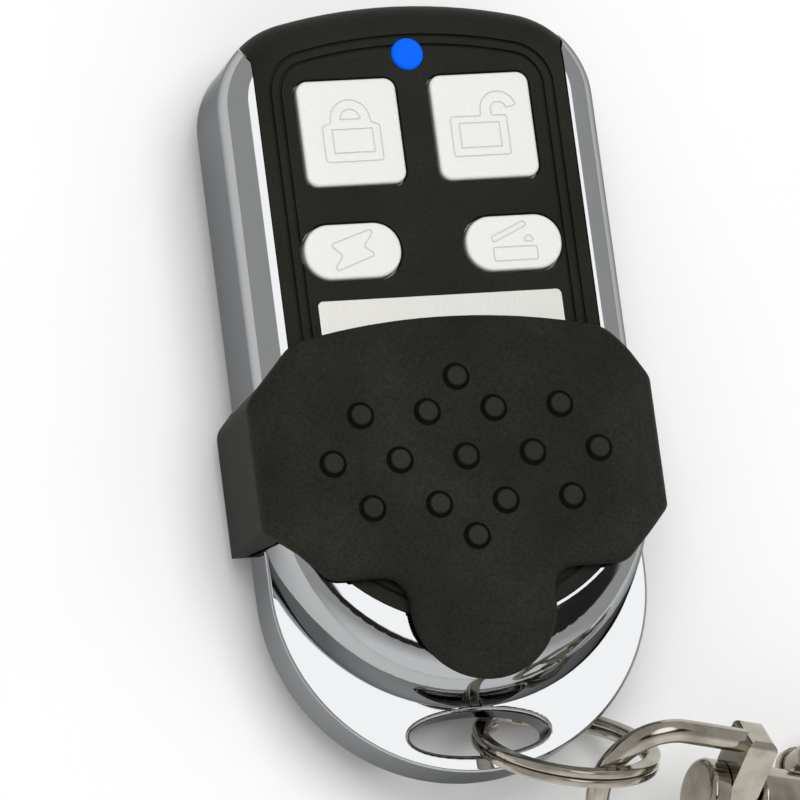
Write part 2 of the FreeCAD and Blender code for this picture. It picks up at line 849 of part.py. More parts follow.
def switches():
    """Push switches under the keys: four square housings, and a plunger that moves with each key."""
    housings = []
    width = cell("switch_width")
    for number, (label, x, y, form) in enumerate(KEYS, 1):
        near, low = x - width / 2, y - width / 2
        block = box(f"switch_block_{number}", width, width, cell("switch_height"), near, low, board_top())
        bore = cylinder(
            f"switch_bore_{number}",
            cell("plunger_radius") + cell("running_gap"),
            cell("plunger_bore") + 1,
            x,
            y,
            board_top() + cell("switch_height") - cell("plunger_bore"),
        )
        housings.append(cut(f"switch_housing_{number}", block, bore))
        sunk = cell("plunger_bore") - cell("key_travel") - 0.2
        start = board_top() + cell("switch_height") - sunk
        plunger = cylinder(label + "_plunger", cell("plunger_radius"), key_foot() - start, x, y, start)
        keep(plunger, label + "_plunger")
    keep(group("switch_housings", housings), "switch_housings")


def circuit_board():
    """Circuit board with round corners, clearance for the bosses and holes for its screws."""
    body = new_body("circuit_board")
    outline = new_sketch(body, "board_outline")
    wall = cell("rail_width") - cell("lip_width") + cell("fit_gap") + cell("frame_gap") + cell("shell_wall")
    width = cell("case_width") - (wall + cell("board_gap")) * 2
    top = cell("case_top") - wall - cell("board_top_gap")
    length = top - cell("board_low")
    middle = cell("board_low") + length / 2
    draw_rounded(outline, width, length, cell("board_corner"))
    pad(body, "board_sheet", outline, cell("board_thickness"))
    holes = new_sketch(body, "board_holes")
    side = cell("case_width") / 2
    for turn in (-1, 1):
        x = (side - cell("top_screw_inset")) * turn
        draw_circle(holes, cell("boss_radius") + cell("key_gap"), x, cell("top_screw_y") - middle)
        x = (side - cell("board_screw_inset")) * turn
        draw_circle(holes, cell("screw_radius") + cell("fit_gap"), x, cell("board_screw_y") - middle)
    pocket(body, "board_cuts", holes, cell("board_thickness"), reversed_cut=True)
    put(body, 0, middle, cell("board_height"))


def controller_chip():
    """The learning controller: a moulded package on two rows of legs."""
    length, width = cell("chip_length"), cell("chip_width")
    x, y = -length / 2, cell("board_low") + cell("chip_inset")
    foot = board_top() + cell("chip_standoff")
    moulding = box("chip_moulding", length, width, cell("chip_height"), x, y, foot)
    pieces = [moulding]
    count = int(size("chip_legs"))
    wide, tall, reach = cell("leg_width"), cell("leg_height"), cell("leg_reach")
    for number in range(count):
        along = x + length / 2 + cell("leg_pitch") * (number - (count - 1) / 2) - wide / 2
        name = f"chip_leg_{number + 1}"
        pieces.append(box(name, wide, width + reach * 2, tall, along, y - reach, board_top()))
    keep(fused("controller_chip", pieces), "controller_chip")


def radio_parts():
    """Resonator can, tuning trimmer and a row of small chip parts on the board."""
    length, width = cell("resonator_width"), cell("resonator_length")
    low = cell("oval_y") - width / 2
    can = box("resonator_can", length, width, cell("resonator_height"), -length / 2, low, board_top())
    keep(can, "resonator_can")
    radius, tall, lap = cell("trimmer_radius"), cell("trimmer_height") / 2, cell("trimmer_lap")
    y = cell("square_y") - cell("trimmer_shift")
    base = box("trimmer_base", radius * 2, radius * 2, tall, -radius, y - radius, board_top())
    rotor = cylinder("trimmer_rotor", radius * 0.8, tall + lap, 0, y, board_top() + tall - lap)
    wide = cell("trimmer_slot")
    x, z = -radius * 0.6, board_top() + tall * 2 - wide
    slot = box("trimmer_slot_cutter", radius * 1.2, wide, wide * 2, x, y - wide / 2, z)
    keep(cut("tuning_trimmer", fused("trimmer_block", [base, rotor]), slot), "tuning_trimmer")
    chips = []
    length, width = cell("small_part_length"), cell("small_part_width")
    tall, y = cell("small_part_height"), cell("board_low") + cell("small_part_inset")
    for number in range(7):
        x = cell("small_part_pitch") * (number - 3) - length / 2
        chips.append(box(f"small_part_{number + 1}", length, width, tall, x, y, board_top()))
    keep(group("small_parts", chips), "small_parts")


def indicator_lamp():
    """Blue lamp: domed body through the panel, a collar and two legs on the board."""
    radius = size("lamp_radius")
    top = size("panel_face") + size("lamp_rise")
    foot = size("board_height") + size("board_thickness")
    collar = foot + size("collar_lift")
    y = lamp_y()
    barrel = Part.makeCylinder(radius, top - collar, Vector(0, y, collar))
    rim = [e for e in barrel.Edges if abs(e.BoundBox.ZMin - top) < 1e-6]
    barrel = barrel.makeFillet(size("lamp_rise"), rim)
    wide = radius + size("collar_width")
    lamp = barrel.fuse(Part.makeCylinder(wide, size("collar_height"), Vector(0, y, collar)))
    leg = size("lamp_leg_width")
    for side in (-1, 1):
        x = side * size("lamp_leg_x") - leg / 2
        lamp = lamp.fuse(Part.makeBox(leg, leg, collar - foot + 0.1, Vector(x, y - leg / 2, foot)))
    feature("indicator_lamp", lamp)


def contact_reach():
    """How far out the backs of the two contacts stand, in their slots in the shell's walls."""
    return half - shell_inset() - size("shell_wall") + size("slot_depth") - size("running_gap")


def cell_length():
    """Length of the cell, nub included: what the case leaves between the leaf and the spring."""
    return 2 * (contact_reach() - size("contact_thickness")) - size("spring_room")


def battery():
    """Small twelve volt cell across the case, between a leaf contact and a spring contact."""
    length, radius = cell_length(), size("cell_radius")
    y, z = size("cell_y"), size("cell_height")
    along = Vector(1, 0, 0)
    overlap = size("boss_gap")
    thick = size("contact_thickness")
    right = contact_reach() - thick
    nub = size("nub_height")
    body = Part.makeCylinder(radius, length - nub, Vector(right - length, y, z), along)
    body = body.makeFillet(size("cell_rounding"), [e for e in body.Edges if e.Closed])
    tip = Part.makeCylinder(size("nub_radius"), nub + overlap, Vector(right - nub - overlap, y, z), along)
    feature("battery_cell", body.fuse(tip))

    floor = size("shell_floor")
    margin = size("leaf_margin")
    tall = z + radius - floor - 2 * margin
    leaf_width = 2 * (radius - margin)
    leaf = Part.makeBox(thick, leaf_width, tall, Vector(right, y - leaf_width / 2, floor))
    long_edges = [e for e in leaf.Edges if abs(e.tangentAt(e.FirstParameter).x) > 0.9]
    leaf = leaf.makeFillet(size("leaf_rounding"), long_edges)
    feature("battery_contact", leaf)
    wide = size("spring_radius")
    root = size("running_gap")
    start = Vector(-right - root, y, z)
    cone = Part.makeCone(wide, wide * 0.6, size("spring_room") + root, start, along)
    feature("battery_spring", mirrored(leaf).fuse(cone))


def screws():
    """Self-tapping screws: four through the back, two holding the board."""
    shank, head, tall = cell("screw_radius"), cell("screw_head_radius"), cell("screw_head_height")
    seat = cell("screw_recess")
    side = cell("case_width") / 2
    top = side - cell("top_screw_inset"), cell("top_screw_y")
    low = side - cell("low_screw_inset"), cell("low_screw_y")
    places = [(x * turn, y) for x, y in (top, low) for turn in (-1, 1)]
    wide, deep = cell("drive_slot_width"), cell("drive_slot_depth")
    case_screws = []
    for number, (x, y) in enumerate(places, 1):
        base = cylinder(f"case_screw_head_{number}", head, tall, x, y, seat)
        stem = cylinder(f"case_screw_shank_{number}", shank, cell("screw_length") + tall, x, y, seat)
        near, low = x - head * 0.7, y - wide / 2
        slot = box(f"case_screw_slot_{number}", head * 1.4, wide, deep, near, low, seat - 0.1)
        blank = fused(f"case_screw_blank_{number}", [base, stem])
        case_screws.append(cut(f"case_screw_{number}", blank, slot))
    keep(group("case_screws", case_screws), "case_screws")
    board_screws = []
    for number, turn in enumerate((-1, 1), 1):
        x, y = (side - cell("board_screw_inset")) * turn, cell("board_screw_y")
        length = cell("board_screw_length")
        base = cylinder(f"board_screw_head_{number}", head, tall, x, y, board_top())
        start = board_top() + cell("boss_gap") - length
        stem = cylinder(f"board_screw_shank_{number}", shank, length, x, y, start)
        board_screws.append(fused(f"board_screw_{number}", [base, stem]))
    keep(group("board_screws", board_screws), "board_screws")


def cover_half():
    """Half the width over the cover's wings."""
    return half + size("cover_side_gap") + size("cover_wall")


def cover_plan(z, depth):
    """The cover's plan: crowned top edge, cut shoulders, straight sides and a round thumb tongue."""
    shoulder = Vector(size("cover_shoulder"), size("cover_top") - size("cover_crown"), z)
    side_top = Vector(cover_half(), size("cover_side_top"), z)
    side_low = Vector(cover_half(), size("cover_side_low"), z)
    low = Vector(size("cover_low_half"), size("cover_low"), z)
    root = Vector(size("tongue_half"), size("cover_low"), z)
    tip_centre = size("tongue_tip") + size("tongue_half")
    tongue = Vector(size("tongue_half"), tip_centre, z)
    right = [shoulder, side_top, side_low, low, root, tongue]
    left = [Vector(-p.x, p.y, p.z) for p in reversed(right)]
    edges = [Part.LineSegment(a, b).toShape() for a, b in zip(right, right[1:])]
    edges.append(Part.Arc(tongue, Vector(0, size("tongue_tip"), z), left[0]).toShape())
    edges += [Part.LineSegment(a, b).toShape() for a, b in zip(left, left[1:])]
    edges.append(Part.Arc(left[-1], Vector(0, size("cover_top"), z), shoulder).toShape())
    blank = prism(Part.Wire(edges), depth)
    corners = {
        "shoulder_rounding": shoulder,
        "side_rounding": side_top,
        "side_low_rounding": side_low,
        "low_rounding": low,
        "tongue_root": root,
    }
    for rounding, point in corners.items():
        upright = [e for e in blank.Edges if stands_on(e, point)]
        blank = blank.makeFillet(size(rounding), upright)
    return blank


def stands_on(edge, point):
    """Whether an upright edge stands on a corner of the plan, on either side."""
    foot = edge.Vertexes[0].Point
    upright = edge.BoundBox.ZMax - edge.BoundBox.ZMin > 1e-3
    return upright and abs(abs(foot.x) - point.x) < 1e-4 and abs(foot.y - point.y) < 1e-4


def long_profile(points):
    """A cross-section in X and Z, run along the whole length of the case."""
    start = -4 * half
    corners = [Vector(x, start, z) for x, z in points]
    return Part.Face(Part.makePolygon(corners + corners[:1])).extrude(Vector(0, 8 * half, 0))


def runs_along(edge):
    """Whether an edge is straight and runs along the case."""
    return isinstance(edge.Curve, Part.Line) and abs(edge.tangentAt(edge.FirstParameter).y) > 0.999


def slide_cover():
    """Black sliding cover: a roof over the keys, sloped shoulders, wings and lips that clip the frame."""
    roof = size("panel_face") + size("crest_rise") + size("cover_lift")
    face = roof + size("cover_roof")
    lip_top = size("chrome_foot") - size("cover_lip_gap")
    foot = lip_top - size("lip_height")
    wide = cover_half()
    slope_x = wide - size("cover_slope_width")
    slope_z = face - size("cover_slope_drop")
    outer = [(wide, foot), (wide, slope_z), (slope_x, face)]
    outer += [(-x, z) for x, z in reversed(outer)]
    bar = long_profile(outer)
    creases = [e for e in bar.Edges if runs_along(e) and e.BoundBox.ZMin > face - 1e-6]
    bar = bar.makeFillet(size("cover_crease"), creases)
    ridges = [e for e in bar.Edges if runs_along(e) and abs(e.BoundBox.ZMax - slope_z) < 1e-6]
    bar = bar.makeFillet(size("cover_ridge"), ridges)
    cover = cover_plan(foot - 1, face - foot + 2).common(bar)
    rims = [e for e in edges_above(cover, slope_z - size("cover_ridge")) if not runs_along(e)]
    cover = cover.makeFillet(size("cover_edge"), rims)
    inner_half = half + size("cover_side_gap")
    slope = size("cover_slope_drop") / size("cover_slope_width")
    thin = size("cover_roof") - size("slope_thinning")
    wall_top = slope_z + (wide - inner_half) * slope - thin
    roof_x = slope_x + (face - thin - roof) / slope
    inner = [(inner_half, lip_top), (inner_half, wall_top), (roof_x, roof)]
    inner += [(-x, z) for x, z in reversed(inner)]
    cover = cover.cut(long_profile(inner))
    throat = inner_half - size("cover_lip_reach")
    mouth = [(throat, foot - 1), (throat, lip_top + 0.5)]
    mouth += [(-x, z) for x, z in reversed(mouth)]
    cover = cover.cut(long_profile(mouth))

    top = slope_z - 0.1
    low, lean = size("wing_low"), size("wing_lean")
    side = [(low, foot - 1), (low - lean, top), (-4 * half, top), (-4 * half, foot - 1)]
    corners = [Vector(-4 * half, y, z) for y, z in side]
    below_wing = Part.Face(Part.makePolygon(corners + corners[:1])).extrude(Vector(8 * half, 0, 0))
    cover = cover.cut(below_wing)

    radius, rise = size("bump_radius"), size("bump_rise")
    ball = (radius**2 + rise**2) / (2 * rise)
    lowest = math.degrees(math.asin((ball - rise - size("bump_sunk")) / ball))
    middle, near, far = size("bump_centre"), size("bump_row_near"), size("bump_row_far")
    rows = [(far, [0]), (near, [-1.5, -0.5, 0.5, 1.5]), (0, [-2, -1, 0, 1, 2])]
    rows += [(-near, [-1.5, -0.5, 0.5, 1.5]), (-far, [0])]
    for offset, columns in rows:
        for column in columns:
            centre = Vector(column * size("bump_pitch"), middle + offset, face + rise - ball)
            cover = cover.fuse(Part.makeSphere(ball, centre, Vector(0, 0, 1), lowest, 90, 360))
    feature("slide_cover", cover.removeSplitter())


def ring_placement():
    """The ring's plane leans towards the keys, and its wire hangs through the middle of the eyelet."""
    turn, tilt = math.radians(size("ring_turn")), math.radians(size("ring_tilt"))
    axis = Vector(math.sin(turn) * math.cos(tilt), math.cos(turn) * math.cos(tilt), math.sin(tilt))
    across = axis.cross(Vector(0, 0, 1)).normalize()
    rotation = Rotation(across, Vector(), axis, "ZXY")
    hung = Vector(size("ring_hang_x"), eyelet_y(), size("tail_face") - size("tail_plate") / 2)
    return Placement(hung - rotation.multVec(on_ring(size("ring_hang_angle"))), rotation)


def on_ring(angle):
    """A place on the middle of the ring's wire, in the ring's own plane."""
    middle = size("ring_radius") - size("ring_wire_width") / 2
    return Vector(middle * math.cos(math.radians(angle)), middle * math.sin(math.radians(angle)), 0)


def split_ring():
    """Split ring: one flat wire wound twice, with the jog that steps it from one layer to the next."""
    wide, tall = size("ring_wire_width"), size("ring_wire_height")
    middle = size("ring_radius") - wide / 2
    step = tall + size("ring_layer_gap")
    jog = size("ring_jog_angle")
    start = size("ring_jog_start")

    def section(angle, height):
        corner = size("ring_wire_corner")
        x, z = wide / 2, tall / 2
        block = Part.makeBox(wide, 1, tall, Vector(middle - x, -0.5, height - z))
        long_edges = [e for e in block.Edges if runs_along(e)]
        block = block.makeFillet(corner, long_edges)
        wire = block.slice(Vector(0, 1, 0), 0)[0]
        wire.rotate(Vector(), Vector(0, 0, 1), angle)
        return wire

    levels = (-step / 2, step / 2)
    layers = []
    for first, level in zip((start + jog, start + jog), levels):
        layers.append(Part.Face(section(first, level)).revolve(Vector(), Vector(0, 0, 1), 360 - jog))
    ramp = []
    stages = 6
    for stage in range(stages + 1):
        share = stage / stages
        eased = share * share * (3 - 2 * share)
        ramp.append(section(start + jog * share, levels[0] + step * eased))
    wire = layers[0].fuse(Part.makeLoft(ramp, True, True)).fuse(layers[1])
    feature("split_ring", wire.removeSplitter(), ring_placement())


def clasp_placement(roll):
    """The clasp's frame: X runs from the loop's base out along the post, and the loop catches the ring."""
    rotation = Rotation(size("clasp_heading"), size("clasp_dip"), size("clasp_roll"))
    caught = ring_placement().multVec(on_ring(size("loop_ring_angle")))
    reach = Vector(size("loop_length") - size("loop_slack"), -size("loop_side"), 0)
    turned = Rotation(size("clasp_heading"), size("clasp_dip"), roll)
    return Placement(caught + rotation.multVec(reach), turned)


def clasp_loop():
    """Swivel loop: a round bar bent to a D, cast on to a flat base that the post turns in."""
    radius = size("loop_bar")
    middle = size("loop_half") - radius
    base = size("loop_base")
    bend = -(size("loop_length") - size("loop_half"))
    straight = -base / 2
    bars = []
    for side in (-1, 1):
        start = Vector(straight, side * middle, 0)
        bars.append(Part.makeCylinder(radius, straight - bend, start, Vector(-1, 0, 0)))
    arc = Part.makeTorus(middle, radius, Vector(bend, 0, 0), Vector(0, 0, 1))
    far = 2 * size("loop_length")
    arc = arc.common(Part.makeBox(far, 2 * far, far, Vector(bend - far, -far, -far / 2)))
    depth = size("loop_base_depth")
    block = Part.makeBox(base, 2 * size("loop_half"), depth, Vector(-base, -size("loop_half"), -depth / 2))
    long_edges = [e for e in block.Edges if abs(e.tangentAt(e.FirstParameter).y) < 0.1]
    block = block.makeFillet(size("loop_base_rounding"), long_edges)
    loop = block.fuse(bars[0]).fuse(bars[1]).fuse(arc)
    radius = size("post_shank") + size("running_gap")
    bore = Part.makeCylinder(radius, 3 * base, Vector(-2 * base, 0, 0), Vector(1, 0, 0))
    feature("clasp_loop", loop.cut(bore).removeSplitter(), clasp_placement(size("clasp_roll")))


def swivel_post():
    """Riveted post: a domed head inside the loop on a shank that holds the claw."""
    base = size("loop_base")
    tall = size("post_head_height")
    gap = size("post_gap")
    end = -base - gap - tall
    head = Part.makeCylinder(size("post_head"), tall, Vector(end, 0, 0), Vector(1, 0, 0))
    far_rim = [e for e in head.Edges if e.Closed and e.BoundBox.XMax < end + 1e-6]
    head = head.makeFillet(size("post_rounding"), far_rim)
    length = base + 3 * gap + size("post_reach")
    shank = Part.makeCylinder(size("post_shank"), length, Vector(-base - 2 * gap, 0, 0), Vector(1, 0, 0))
    feature("swivel_post", head.fuse(shank), clasp_placement(0))


def claw_start():
    """Where the claw's hook leaves its barrel, in the clasp's frame."""
    return size("swivel_gap") + size("barrel_length")


def claw_outline(grow, z):
    """Egg outline of the claw in its own plane, moved in or out by grow."""
    start = claw_start() - size("claw_neck_overlap")
    end = claw_start() + size("claw_length")
    wide = size("claw_half")
    middle = end - wide
    root = size("barrel_radius")
    bulge = (root + wide) / 2 + size("claw_bulge") + grow
    neck = Vector(start - grow * 0.3, -root - grow * 0.6 + size("claw_neck_inset"), z)
    low = Vector(middle, -wide - grow, z)
    tip = Vector(end + grow, 0, z)
    neck_high, high = [Vector(p.x, -p.y, p.z) for p in (neck, low)]
    side_low = Part.Arc(neck, Vector((start + middle) / 2, -bulge, z), low)
    nose = Part.Arc(low, tip, high)
    side_high = Part.Arc(high, Vector((start + middle) / 2, bulge, z), neck_high)
    root_line = Part.LineSegment(neck_high, neck)
    return Part.Wire([piece.toShape() for piece in (side_low, nose, side_high, root_line)])


def gate_pivot():
    """Where the gate's pin crosses the claw, in the clasp's frame."""
    y = size("claw_half") - size("claw_bar") / 2 - size("pin_drop")
    return Vector(claw_start() + size("pin_reach"), y, 0)


def round_about(place, radius, depth):
    """A disc square to the claw, with its middle on a place."""
    return Part.makeCylinder(radius, depth, Vector(place.x, place.y, -depth / 2))


def claw_block(x, y, length, width, depth):
    """A block across the claw's middle plane, from its near, low corner."""
    return Part.makeBox(length, width, depth, Vector(x, y, -depth / 2))


def gate_zone(gap, start):
    """The stretch of the claw's upper arm that the gate fills: both its ends are round about the pin."""
    pivot = gate_pivot()
    deep = 4 * size("claw_thickness")
    reach = size("claw_length") - size("claw_half") - size("gate_short")
    heel = size("gate_boss") + size("gate_gap") - gap
    band = round_about(pivot, reach + gap, deep).cut(round_about(pivot, heel, deep))
    return band.common(claw_block(pivot.x + start, -gap, 2 * reach, 2 * reach, deep))


def claw_blanks():
    """The claw's egg-shaped plate and the cutter for its eye."""
    thick = size("claw_thickness")
    far = 2 * size("claw_length")
    egg = prism(claw_outline(0, -thick / 2), thick)
    rims = [e for e in egg.Edges if abs(e.tangentAt(e.FirstParameter).z) < 0.1]
    egg = egg.makeFillet(size("claw_rounding"), rims)
    eye = prism(claw_outline(-size("claw_bar"), -thick), 2 * thick)
    past_pin = claw_block(gate_pivot().x + 2 * size("gate_gap"), -far, far, 2 * far, 4 * thick)
    return egg, eye.common(past_pin)


def claw():
    """Claw: a barrel on the post and an egg-shaped hook, slotted for the gate's knuckle."""
    thick = size("claw_thickness")
    along = Vector(1, 0, 0)
    pivot = gate_pivot()
    boss, gap = size("gate_boss"), size("gate_gap")
    start = size("swivel_gap")
    barrel = Part.makeCylinder(size("barrel_radius"), size("barrel_length"), Vector(start, 0, 0), along)
    near_rim = [e for e in barrel.Edges if e.Closed and e.BoundBox.XMax < start + 1e-6]
    barrel = barrel.makeFillet(size("post_rounding"), near_rim)
    egg, eye = claw_blanks()
    shank = Part.makeCylinder(size("post_shank") + 0.01, size("post_reach") + 2 * gap, Vector(), along)
    opening = size("gate_thickness") + 2 * size("gate_slot_gap")
    slot_x, slot_y = pivot.x - boss - 5 * gap, pivot.y - boss - 3 * gap
    slot = claw_block(slot_x, slot_y, 5 * boss, 5 * boss, opening)
    hook = barrel.fuse(egg).cut(eye).cut(shank).cut(gate_zone(gap, 0))
    hook = hook.fuse(round_about(pivot, boss, thick)).cut(slot).cut(pin_hole())
    feature("claw_body", hook.removeSplitter(), clasp_placement(0))


def pin_hole():
    """Bore for the gate's pin, right through the claw."""
    return round_about(gate_pivot(), size("gate_pin_radius") + size("pin_gap"), 2 * size("claw_thickness"))


def claw_gate():
    """Gate: the missing stretch of the claw's arm, with a knuckle on the pin and a thumb tab."""
    wide = size("gate_thickness")
    pivot = gate_pivot()
    egg, eye = claw_blanks()
    arm = egg.cut(eye).common(gate_zone(0, size("gate_start")))
    knuckle = round_about(pivot, size("gate_boss") - size("knuckle_inset"), wide)
    tall = size("tongue_height")
    tongue = claw_block(pivot.x, pivot.y - tall / 2, size("tongue_reach"), tall, wide)
    tab_x, tab_y = pivot.x + size("tab_reach"), pivot.y + size("coil_radius")
    tab = claw_block(tab_x, tab_y, size("tab_width"), size("tab_rise"), wide)
    crest = [e for e in tab.Edges if e.BoundBox.YMin > tab_y + 0.9 * size("tab_rise")]
    tab = tab.makeFillet(size("claw_rounding"), [e for e in crest if e.BoundBox.ZMax > e.BoundBox.ZMin])
    gate = arm.fuse(knuckle).fuse(tongue).fuse(tab).cut(pin_hole())
    room = size("coil_radius") + size("coil_gap")
    gate = gate.cut(round_about(pivot, room, size("gate_spring_width") + 2 * size("coil_gap")))
    feature("claw_gate", gate.removeSplitter(), clasp_placement(0))


def gate_pin():
    """Pin of the gate and the sleeve that stands for the coil spring round it."""
    pivot = gate_pivot()
    place = clasp_placement(0)
    pin = round_about(pivot, size("gate_pin_radius"), size("claw_thickness") + size("gate_gap"))
    feature("gate_pin", pin, place)
    sleeve = round_about(pivot, size("coil_radius"), size("gate_spring_width"))
    feature("gate_spring", sleeve.cut(pin_hole()), place)


chrome_frame()
front_panel()
back_shell()
nameplate()
for label, x, y, form in KEYS:
    key(label, x, y, form)
switches()
circuit_board()
controller_chip()
radio_parts()
indicator_lamp()
battery()
screws()
slide_cover()
split_ring()
clasp_loop()
swivel_post()
claw()
claw_gate()
gate_pin()
doc.recompute()

faults = [thing.Name for thing in doc.Objects if "Invalid" in thing.State or "Error" in thing.State]
for node in nodes:
    if node.Shape.isNull() or not node.Shape.isValid():
        faults.append(node.Label)
if faults:
    raise SystemExit("not built: " + ", ".join(faults))
os.makedirs("parts", exist_ok=True)
for node in nodes:
    node.Shape.exportStep(f"parts/{node.Label}.step")
    solids = len(node.Shape.Solids)
    print(f"{node.Label}: {solids} solid(s), {node.Shape.Volume:.1f} mm3")
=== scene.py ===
# %% [markdown]
# # A pocket remote control with a sliding key cover
#
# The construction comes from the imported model, where every piece already has its real size and
# place. This lesson gives those pieces their finishes, cuts the pictograms into the keys, winds the
# wire parts, and lights the whole as it lies on a table.
#
# The frame is that of the construction: X to the right, Y towards the lamp, Z out of the keys, and
# the table at Z = 0. Everything is in metres, so real sizes are written in millimetres times MM.

# %% Load the construction
import json
import math
import bmesh
import bpy
from mathutils import Matrix, Vector


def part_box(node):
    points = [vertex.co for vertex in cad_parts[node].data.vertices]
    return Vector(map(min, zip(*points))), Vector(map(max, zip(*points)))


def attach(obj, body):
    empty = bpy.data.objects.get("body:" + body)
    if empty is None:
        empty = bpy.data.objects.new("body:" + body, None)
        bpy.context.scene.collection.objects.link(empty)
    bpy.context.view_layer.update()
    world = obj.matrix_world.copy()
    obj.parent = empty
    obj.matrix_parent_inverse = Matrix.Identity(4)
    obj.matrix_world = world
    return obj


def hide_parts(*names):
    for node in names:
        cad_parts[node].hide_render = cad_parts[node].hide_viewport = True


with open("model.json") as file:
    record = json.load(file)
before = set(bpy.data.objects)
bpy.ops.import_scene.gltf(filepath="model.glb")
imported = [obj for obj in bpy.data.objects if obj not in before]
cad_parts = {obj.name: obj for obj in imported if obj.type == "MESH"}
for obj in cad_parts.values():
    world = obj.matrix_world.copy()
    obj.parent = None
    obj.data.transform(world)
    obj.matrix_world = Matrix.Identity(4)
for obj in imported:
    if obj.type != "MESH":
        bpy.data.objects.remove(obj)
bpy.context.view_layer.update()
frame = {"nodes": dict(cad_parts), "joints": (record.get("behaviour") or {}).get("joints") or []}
nodes = frame["nodes"]
MM = 0.001

# %% [markdown]
# ## The camera
#
# The photograph was taken from far away with a long lens, so upright edges stay nearly parallel.
# The camera is described by how the remote is turned in front of it: a yaw, a pitch and a roll. The
# rows of that turn are the camera's own right, up and back directions. It stands one focal length,
# in pixels, divided by the pixels per millimetre, away from the point that it aims at.

# %% Set the camera
PHOTO_WIDTH = 800
FOCAL_PIXELS = 8000.0
PIXELS_PER_MM = 10.8
AIM_RIGHT_PIXELS = -19.823
AIM_UP_PIXELS = 5.336
AIM_HEIGHT = 3.95 * MM
YAW = math.radians(17.0)
PITCH = math.radians(13.5)
ROLL = math.radians(7.5277)
SENSOR_MM = 36.0
NEAREST_DRAWN = 0.05
FARTHEST_DRAWN = 20.0

turn = (
    Matrix.Rotation(ROLL, 3, "Z")
    @ Matrix.Rotation(-PITCH, 3, "X")
    @ Matrix.Rotation(YAW, 3, "Y")
)
right, up, back = turn[0], turn[1], turn[2]
camera = bpy.data.objects.new("camera", bpy.data.cameras.new("camera"))
bpy.context.scene.collection.objects.link(camera)
bpy.context.scene.camera = camera
camera.data.sensor_width = SENSOR_MM
camera.data.lens = FOCAL_PIXELS * SENSOR_MM / PHOTO_WIDTH
pixel = MM / PIXELS_PER_MM
camera.location = (
    Vector((0, 0, AIM_HEIGHT))
    + right * AIM_RIGHT_PIXELS * pixel
    + up * AIM_UP_PIXELS * pixel
    + back * FOCAL_PIXELS * pixel
)
camera.rotation_euler = turn.transposed().to_euler()
camera.data.clip_start = NEAREST_DRAWN
camera.data.clip_end = FARTHEST_DRAWN
bpy.context.scene.view_settings.view_transform = "Standard"
print("camera", [round(v, 4) for v in camera.location], "lens", camera.data.lens)

# %% [markdown]
# ## Colours and nodes
#
# Colours are written as sRGB hex, as a colour picker shows them, and turned to the linear values that
# the shaders want. One small function adds a node: a socket given as an input is linked, and anything
# else is set as that input's value.

# %% Two helpers
def linear(hex_colour):
    """Linear RGBA of an sRGB colour such as #2a2b28."""
    parts = [int(hex_colour[i:i + 2], 16) / 255 for i in (1, 3, 5)]
    return [c / 12.92 if c <= 0.04045 else ((c + 0.055) / 1.055) ** 2.4 for c in parts] + [1.0]


def add(tree, kind, inputs=None, **settings):
    """Adds a node with its settings, and links or sets its inputs."""
    node = tree.nodes.new(kind)
    for name, value in settings.items():
        setattr(node, name, value)
    for name, value in (inputs or {}).items():
        if isinstance(value, bpy.types.NodeSocket):
            tree.links.new(value, node.inputs[name])
        else:
            node.inputs[name].default_value = value
    return node


def per_mm(size_mm):
    """Texture scale for a pattern whose features are size_mm across."""
    return 1 / (size_mm * MM)


def new_finish(name):
    """An empty material, its tree and the piece's own coordinates."""
    material = bpy.data.materials.new(name)
    material.use_nodes = True
    tree = material.node_tree
    tree.nodes.clear()
    return material, tree, add(tree, "ShaderNodeTexCoord").outputs["Object"]


def surface(tree, shader):
    add(tree, "ShaderNodeOutputMaterial", {"Surface": shader.outputs[0]})


# %% [markdown]
# ## Chrome
#
# The frame is ABS with a bright chrome plating: a mirror. Its look comes almost wholly from what it
# reflects, so the shader stays simple. Two things keep it from looking like a computer's chrome. The
# moulding under the plating is never quite flat, which a long shallow bump shows, and handling
# leaves a faint haze, which a slow change of roughness shows. Chromium gives back little more than
# half of the light, so its colour is a middle grey, not white, and the tint for shallow angles is
# darker, because the side walls look dull in the photograph.

# %% Chrome plating
def chrome_plating():
    material, tree, place = new_finish("chrome_plating_on_abs")
    haze = add(tree, "ShaderNodeTexNoise", {"Vector": place, "Scale": per_mm(5.0), "Detail": 3.0})
    rough = add(tree, "ShaderNodeMapRange", {
        "Value": haze.outputs["Fac"], "From Min": 0.35, "From Max": 0.75,
        "To Min": 0.035, "To Max": 0.085})
    sink = add(tree, "ShaderNodeTexNoise", {"Vector": place, "Scale": per_mm(7.0), "Detail": 1.0})
    bump = add(tree, "ShaderNodeBump", {
        "Height": sink.outputs["Fac"], "Strength": 0.25, "Distance": 0.05 * MM})
    surface(tree, add(tree, "ShaderNodeBsdfPrincipled", {
        "Base Color": linear("#b2b3b4"), "Metallic": 1.0, "Specular Tint": linear("#9c9ea0"),
        "Roughness": rough.outputs[0], "Normal": bump.outputs[0]}))
    return material


chrome = chrome_plating()
print("made", chrome.name)

# %% [markdown]
# ## Black moulded plastic
#
# The case and the cover are black ABS from a spark-eroded mould, so they carry a fine even grain.
# The grain is what makes the black look soft: it breaks up the highlights. Here it is a fine noise
# used as bump, with a little of the same noise in the colour. Real grain is near 0.1 mm, and it is
# drawn at 0.2 mm so that it shows. The grip bumps' plastic carries painted shade: a dull dark ring
# on the side and foot of each bump, where shade falls, which reads how far each point is from the
# middle of its bump.

# %% Black plastic
SHEEN = 0.04


